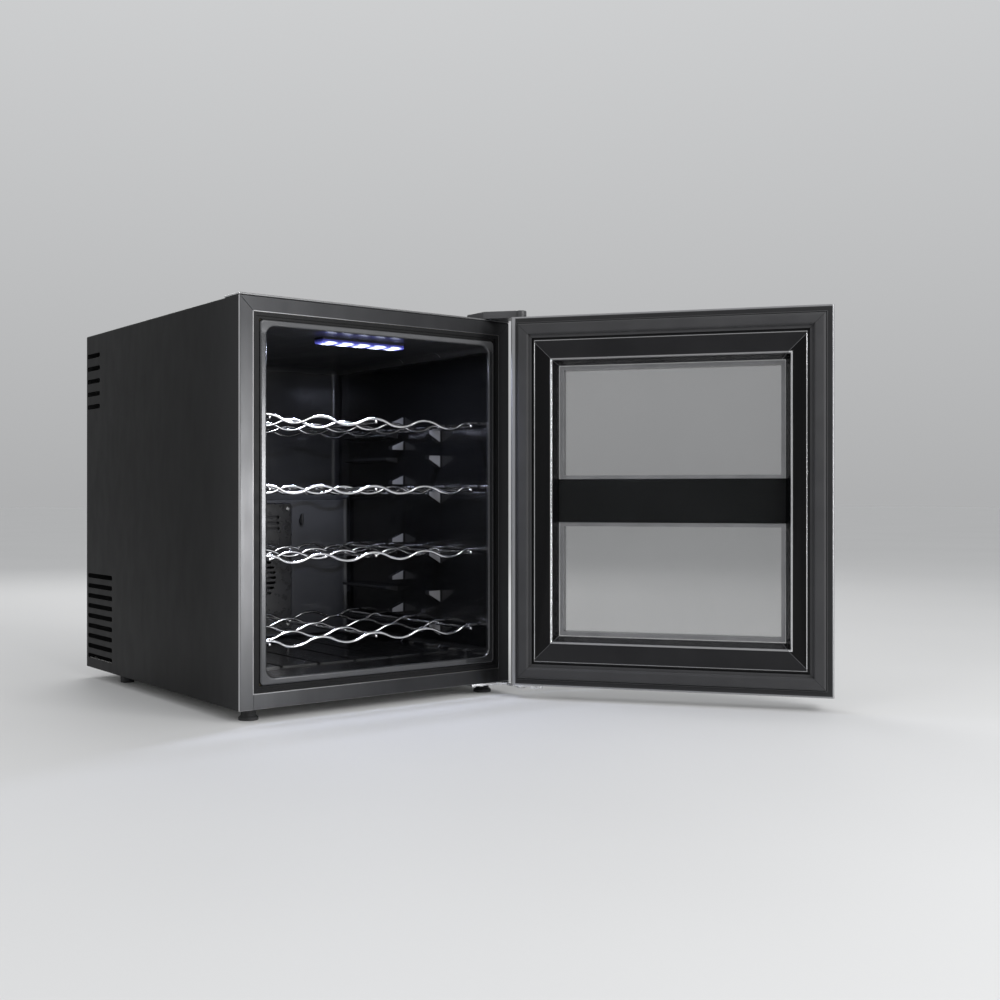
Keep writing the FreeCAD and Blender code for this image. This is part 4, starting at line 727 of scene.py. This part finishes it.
# ---- lamp ----
def lamp_diodes():
    """Five domed diodes on the strip board."""
    domes = []
    for step in range(-2, 3):
        let_go()
        bpy.ops.mesh.primitive_uv_sphere_add(segments=20, ring_count=12, radius=2.1 * MM,
                                             location=(step * LAMP_PITCH, LAMP_MIDDLE.y, DIODE_TOP))
        dome = bpy.context.object
        bpy.ops.object.transform_apply(location=True, rotation=True, scale=True)
        bpy.ops.object.mode_set(mode="EDIT")
        bpy.ops.mesh.select_all(action="SELECT")
        bpy.ops.mesh.bisect(plane_co=(0, 0, DIODE_TOP), plane_no=(0, 0, 1), use_fill=True, clear_outer=True)
        bpy.ops.object.mode_set(mode="OBJECT")
        domes.append(dome)
    lamp = joined("lamp_diodes", domes)
    smooth(lamp, 50)
    dress(lamp, "diode")
    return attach(lamp, "cabinet")


# ---- display and touch marks, behind the front pane ----
# the bars of a seven-bar figure: a on top, then b to f clockwise, g across the middle
DIGIT_BARS = {"1": "bc", "2": "abged", "4": "fgbc"}


def display_bar(x, z, wide, high):
    bar = cube("bar", (x - wide / 2, DOOR_FRONT + 4.12 * MM, z - high / 2),
               (x + wide / 2, DOOR_FRONT + 4.32 * MM, z + high / 2))
    pick(bar, "EDGE", lambda e: abs((e.verts[0].co - e.verts[1].co).normalized().y) > 0.9)
    bpy.ops.mesh.bevel(offset=min(wide, high) * 0.42, segments=2, affect="EDGES")
    let_go()
    return bar


def digit(symbol, x, z):
    half_wide, half_high, thick = 3.4 * MM, 3.6 * MM, 1.3 * MM
    long_x, long_z = 2 * half_wide - thick * 1.2, 2 * half_high - thick * 1.2
    spots = {"a": (0, 2 * half_high, True), "g": (0, 0, True), "d": (0, -2 * half_high, True),
             "f": (-half_wide, half_high, False), "b": (half_wide, half_high, False),
             "e": (-half_wide, -half_high, False), "c": (half_wide, -half_high, False)}
    bars = []
    for key in DIGIT_BARS[symbol]:
        dx, dz, flat = spots[key]
        size = (long_x, thick) if flat else (thick, long_z)
        bars.append(display_bar(x + dx, z + dz, *size))
    return bars


def display_digits():
    """Two plain two-figure numbers, lit behind the front pane."""
    bars = []
    for symbol, x in (("1", -33.0), ("2", -21.0), ("1", 1.0), ("4", 13.0)):
        bars += digit(symbol, x * MM, BAND_MIDDLE)
    digits = joined("display_digits", bars)
    swing_open(digits)
    dress(digits, "digit")
    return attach(digits, "door")


def touch_marks():
    """Printed rings over the five touch pads."""
    rings = []
    for x in (-88.0, -66.0, 44.0, 66.0, 88.0):
        let_go()
        bpy.ops.mesh.primitive_cylinder_add(vertices=40, radius=5.0 * MM, depth=0.12 * MM,
                                            location=(x * MM, DOOR_FRONT + 4.04 * MM, BAND_MIDDLE),
                                            rotation=(math.radians(90), 0, 0))
        ring = bpy.context.object
        bpy.ops.object.transform_apply(location=True, rotation=True, scale=True)
        pick(ring, "FACE", lambda f: abs(f.normal.y) > 0.9)
        bpy.ops.mesh.inset(thickness=0.8 * MM, depth=0, use_individual=True)
        bpy.ops.mesh.bridge_edge_loops()
        let_go()
        rings.append(ring)
    marks = joined("touch_marks", rings)
    swing_open(marks)
    dress(marks, "digit")
    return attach(marks, "door")


door_seal()
glass_frame()
lamp_diodes()
display_digits()
touch_marks()


# ---- floor, light and camera ----
def studio():
    let_go()
    bpy.ops.mesh.primitive_plane_add(size=60, location=(0, 0, -0.2 * MM))
    floor = bpy.context.object
    floor.name = "studio_floor"
    f = Finish("studio_floor", specular=0.2)
    f.colour(f.blend(f.span(f.noise(1.5, 2), 0.3, 0.7), (0.66, 0.66, 0.66), (0.68, 0.68, 0.68)))
    f.rough(f.noise(3, 2), 0.6, 0.65)
    floor.data.materials.append(f.material)

    world = bpy.data.worlds.new("studio")
    bpy.context.scene.world = world
    world.use_nodes = True
    tree = world.node_tree
    up = tree.nodes.new("ShaderNodeSeparateXYZ")
    tree.links.new(tree.nodes.new("ShaderNodeTexCoord").outputs["Generated"], up.inputs[0])
    sky = tree.nodes.new("ShaderNodeValToRGB")
    sky.color_ramp.elements[0].position = 0.0
    sky.color_ramp.elements[0].color = (0.535, 0.54, 0.547, 1)
    sky.color_ramp.elements[1].position = 0.4
    sky.color_ramp.elements[1].color = (0.78, 0.79, 0.8, 1)
    tree.links.new(up.outputs[2], sky.inputs[0])
    tree.links.new(sky.outputs[0], tree.nodes["Background"].inputs["Color"])
    tree.nodes["Background"].inputs["Strength"].default_value = 0.8
    bpy.context.scene.view_settings.view_transform = "Standard"

    def soft(name, place, aim, size, power, tone=(1, 1, 1)):
        data = bpy.data.lights.new(name, "AREA")
        data.shape = "RECTANGLE"
        data.size, data.size_y = size
        data.energy = power
        data.color = tone
        lamp = bpy.data.objects.new(name, data)
        lamp.location = place
        lamp.rotation_euler = (Vector(aim) - Vector(place)).to_track_quat("-Z", "Y").to_euler()
        bpy.context.scene.collection.objects.link(lamp)

    soft("key", (0.35, -2.7, 1.5), (0.05, -0.1, 0.25), (1.8, 1.0), 42)
    soft("left", (-2.6, -0.9, 1.9), (0.0, -0.1, 0.3), (0.9, 1.6), 9)
    soft("back", (0.9, 1.9, 1.7), (0.0, 0.0, 0.3), (1.6, 1.0), 16)
    soft("card", (0.78, -2.3, 0.3), (-0.2, -0.254, 0.25), (0.36, 0.5), 8)
    soft("lamp_glow", (0, -0.194, 0.479), (0, -0.194, 0.0), (0.12, 0.016), 0.9, (0.72, 0.78, 1.0))

    camera_data = bpy.data.cameras.new("camera")
    camera = bpy.data.objects.new("camera", camera_data)
    camera.location = (-0.9024, -1.5994, 0.2773)
    camera.rotation_euler = (math.radians(90), 0, math.radians(-36.89))
    camera_data.lens = 44.2
    camera_data.sensor_width = 36
    camera_data.shift_x, camera_data.shift_y = 0.05, -0.0034
    bpy.context.scene.collection.objects.link(camera)
    bpy.context.scene.camera = camera


studio()
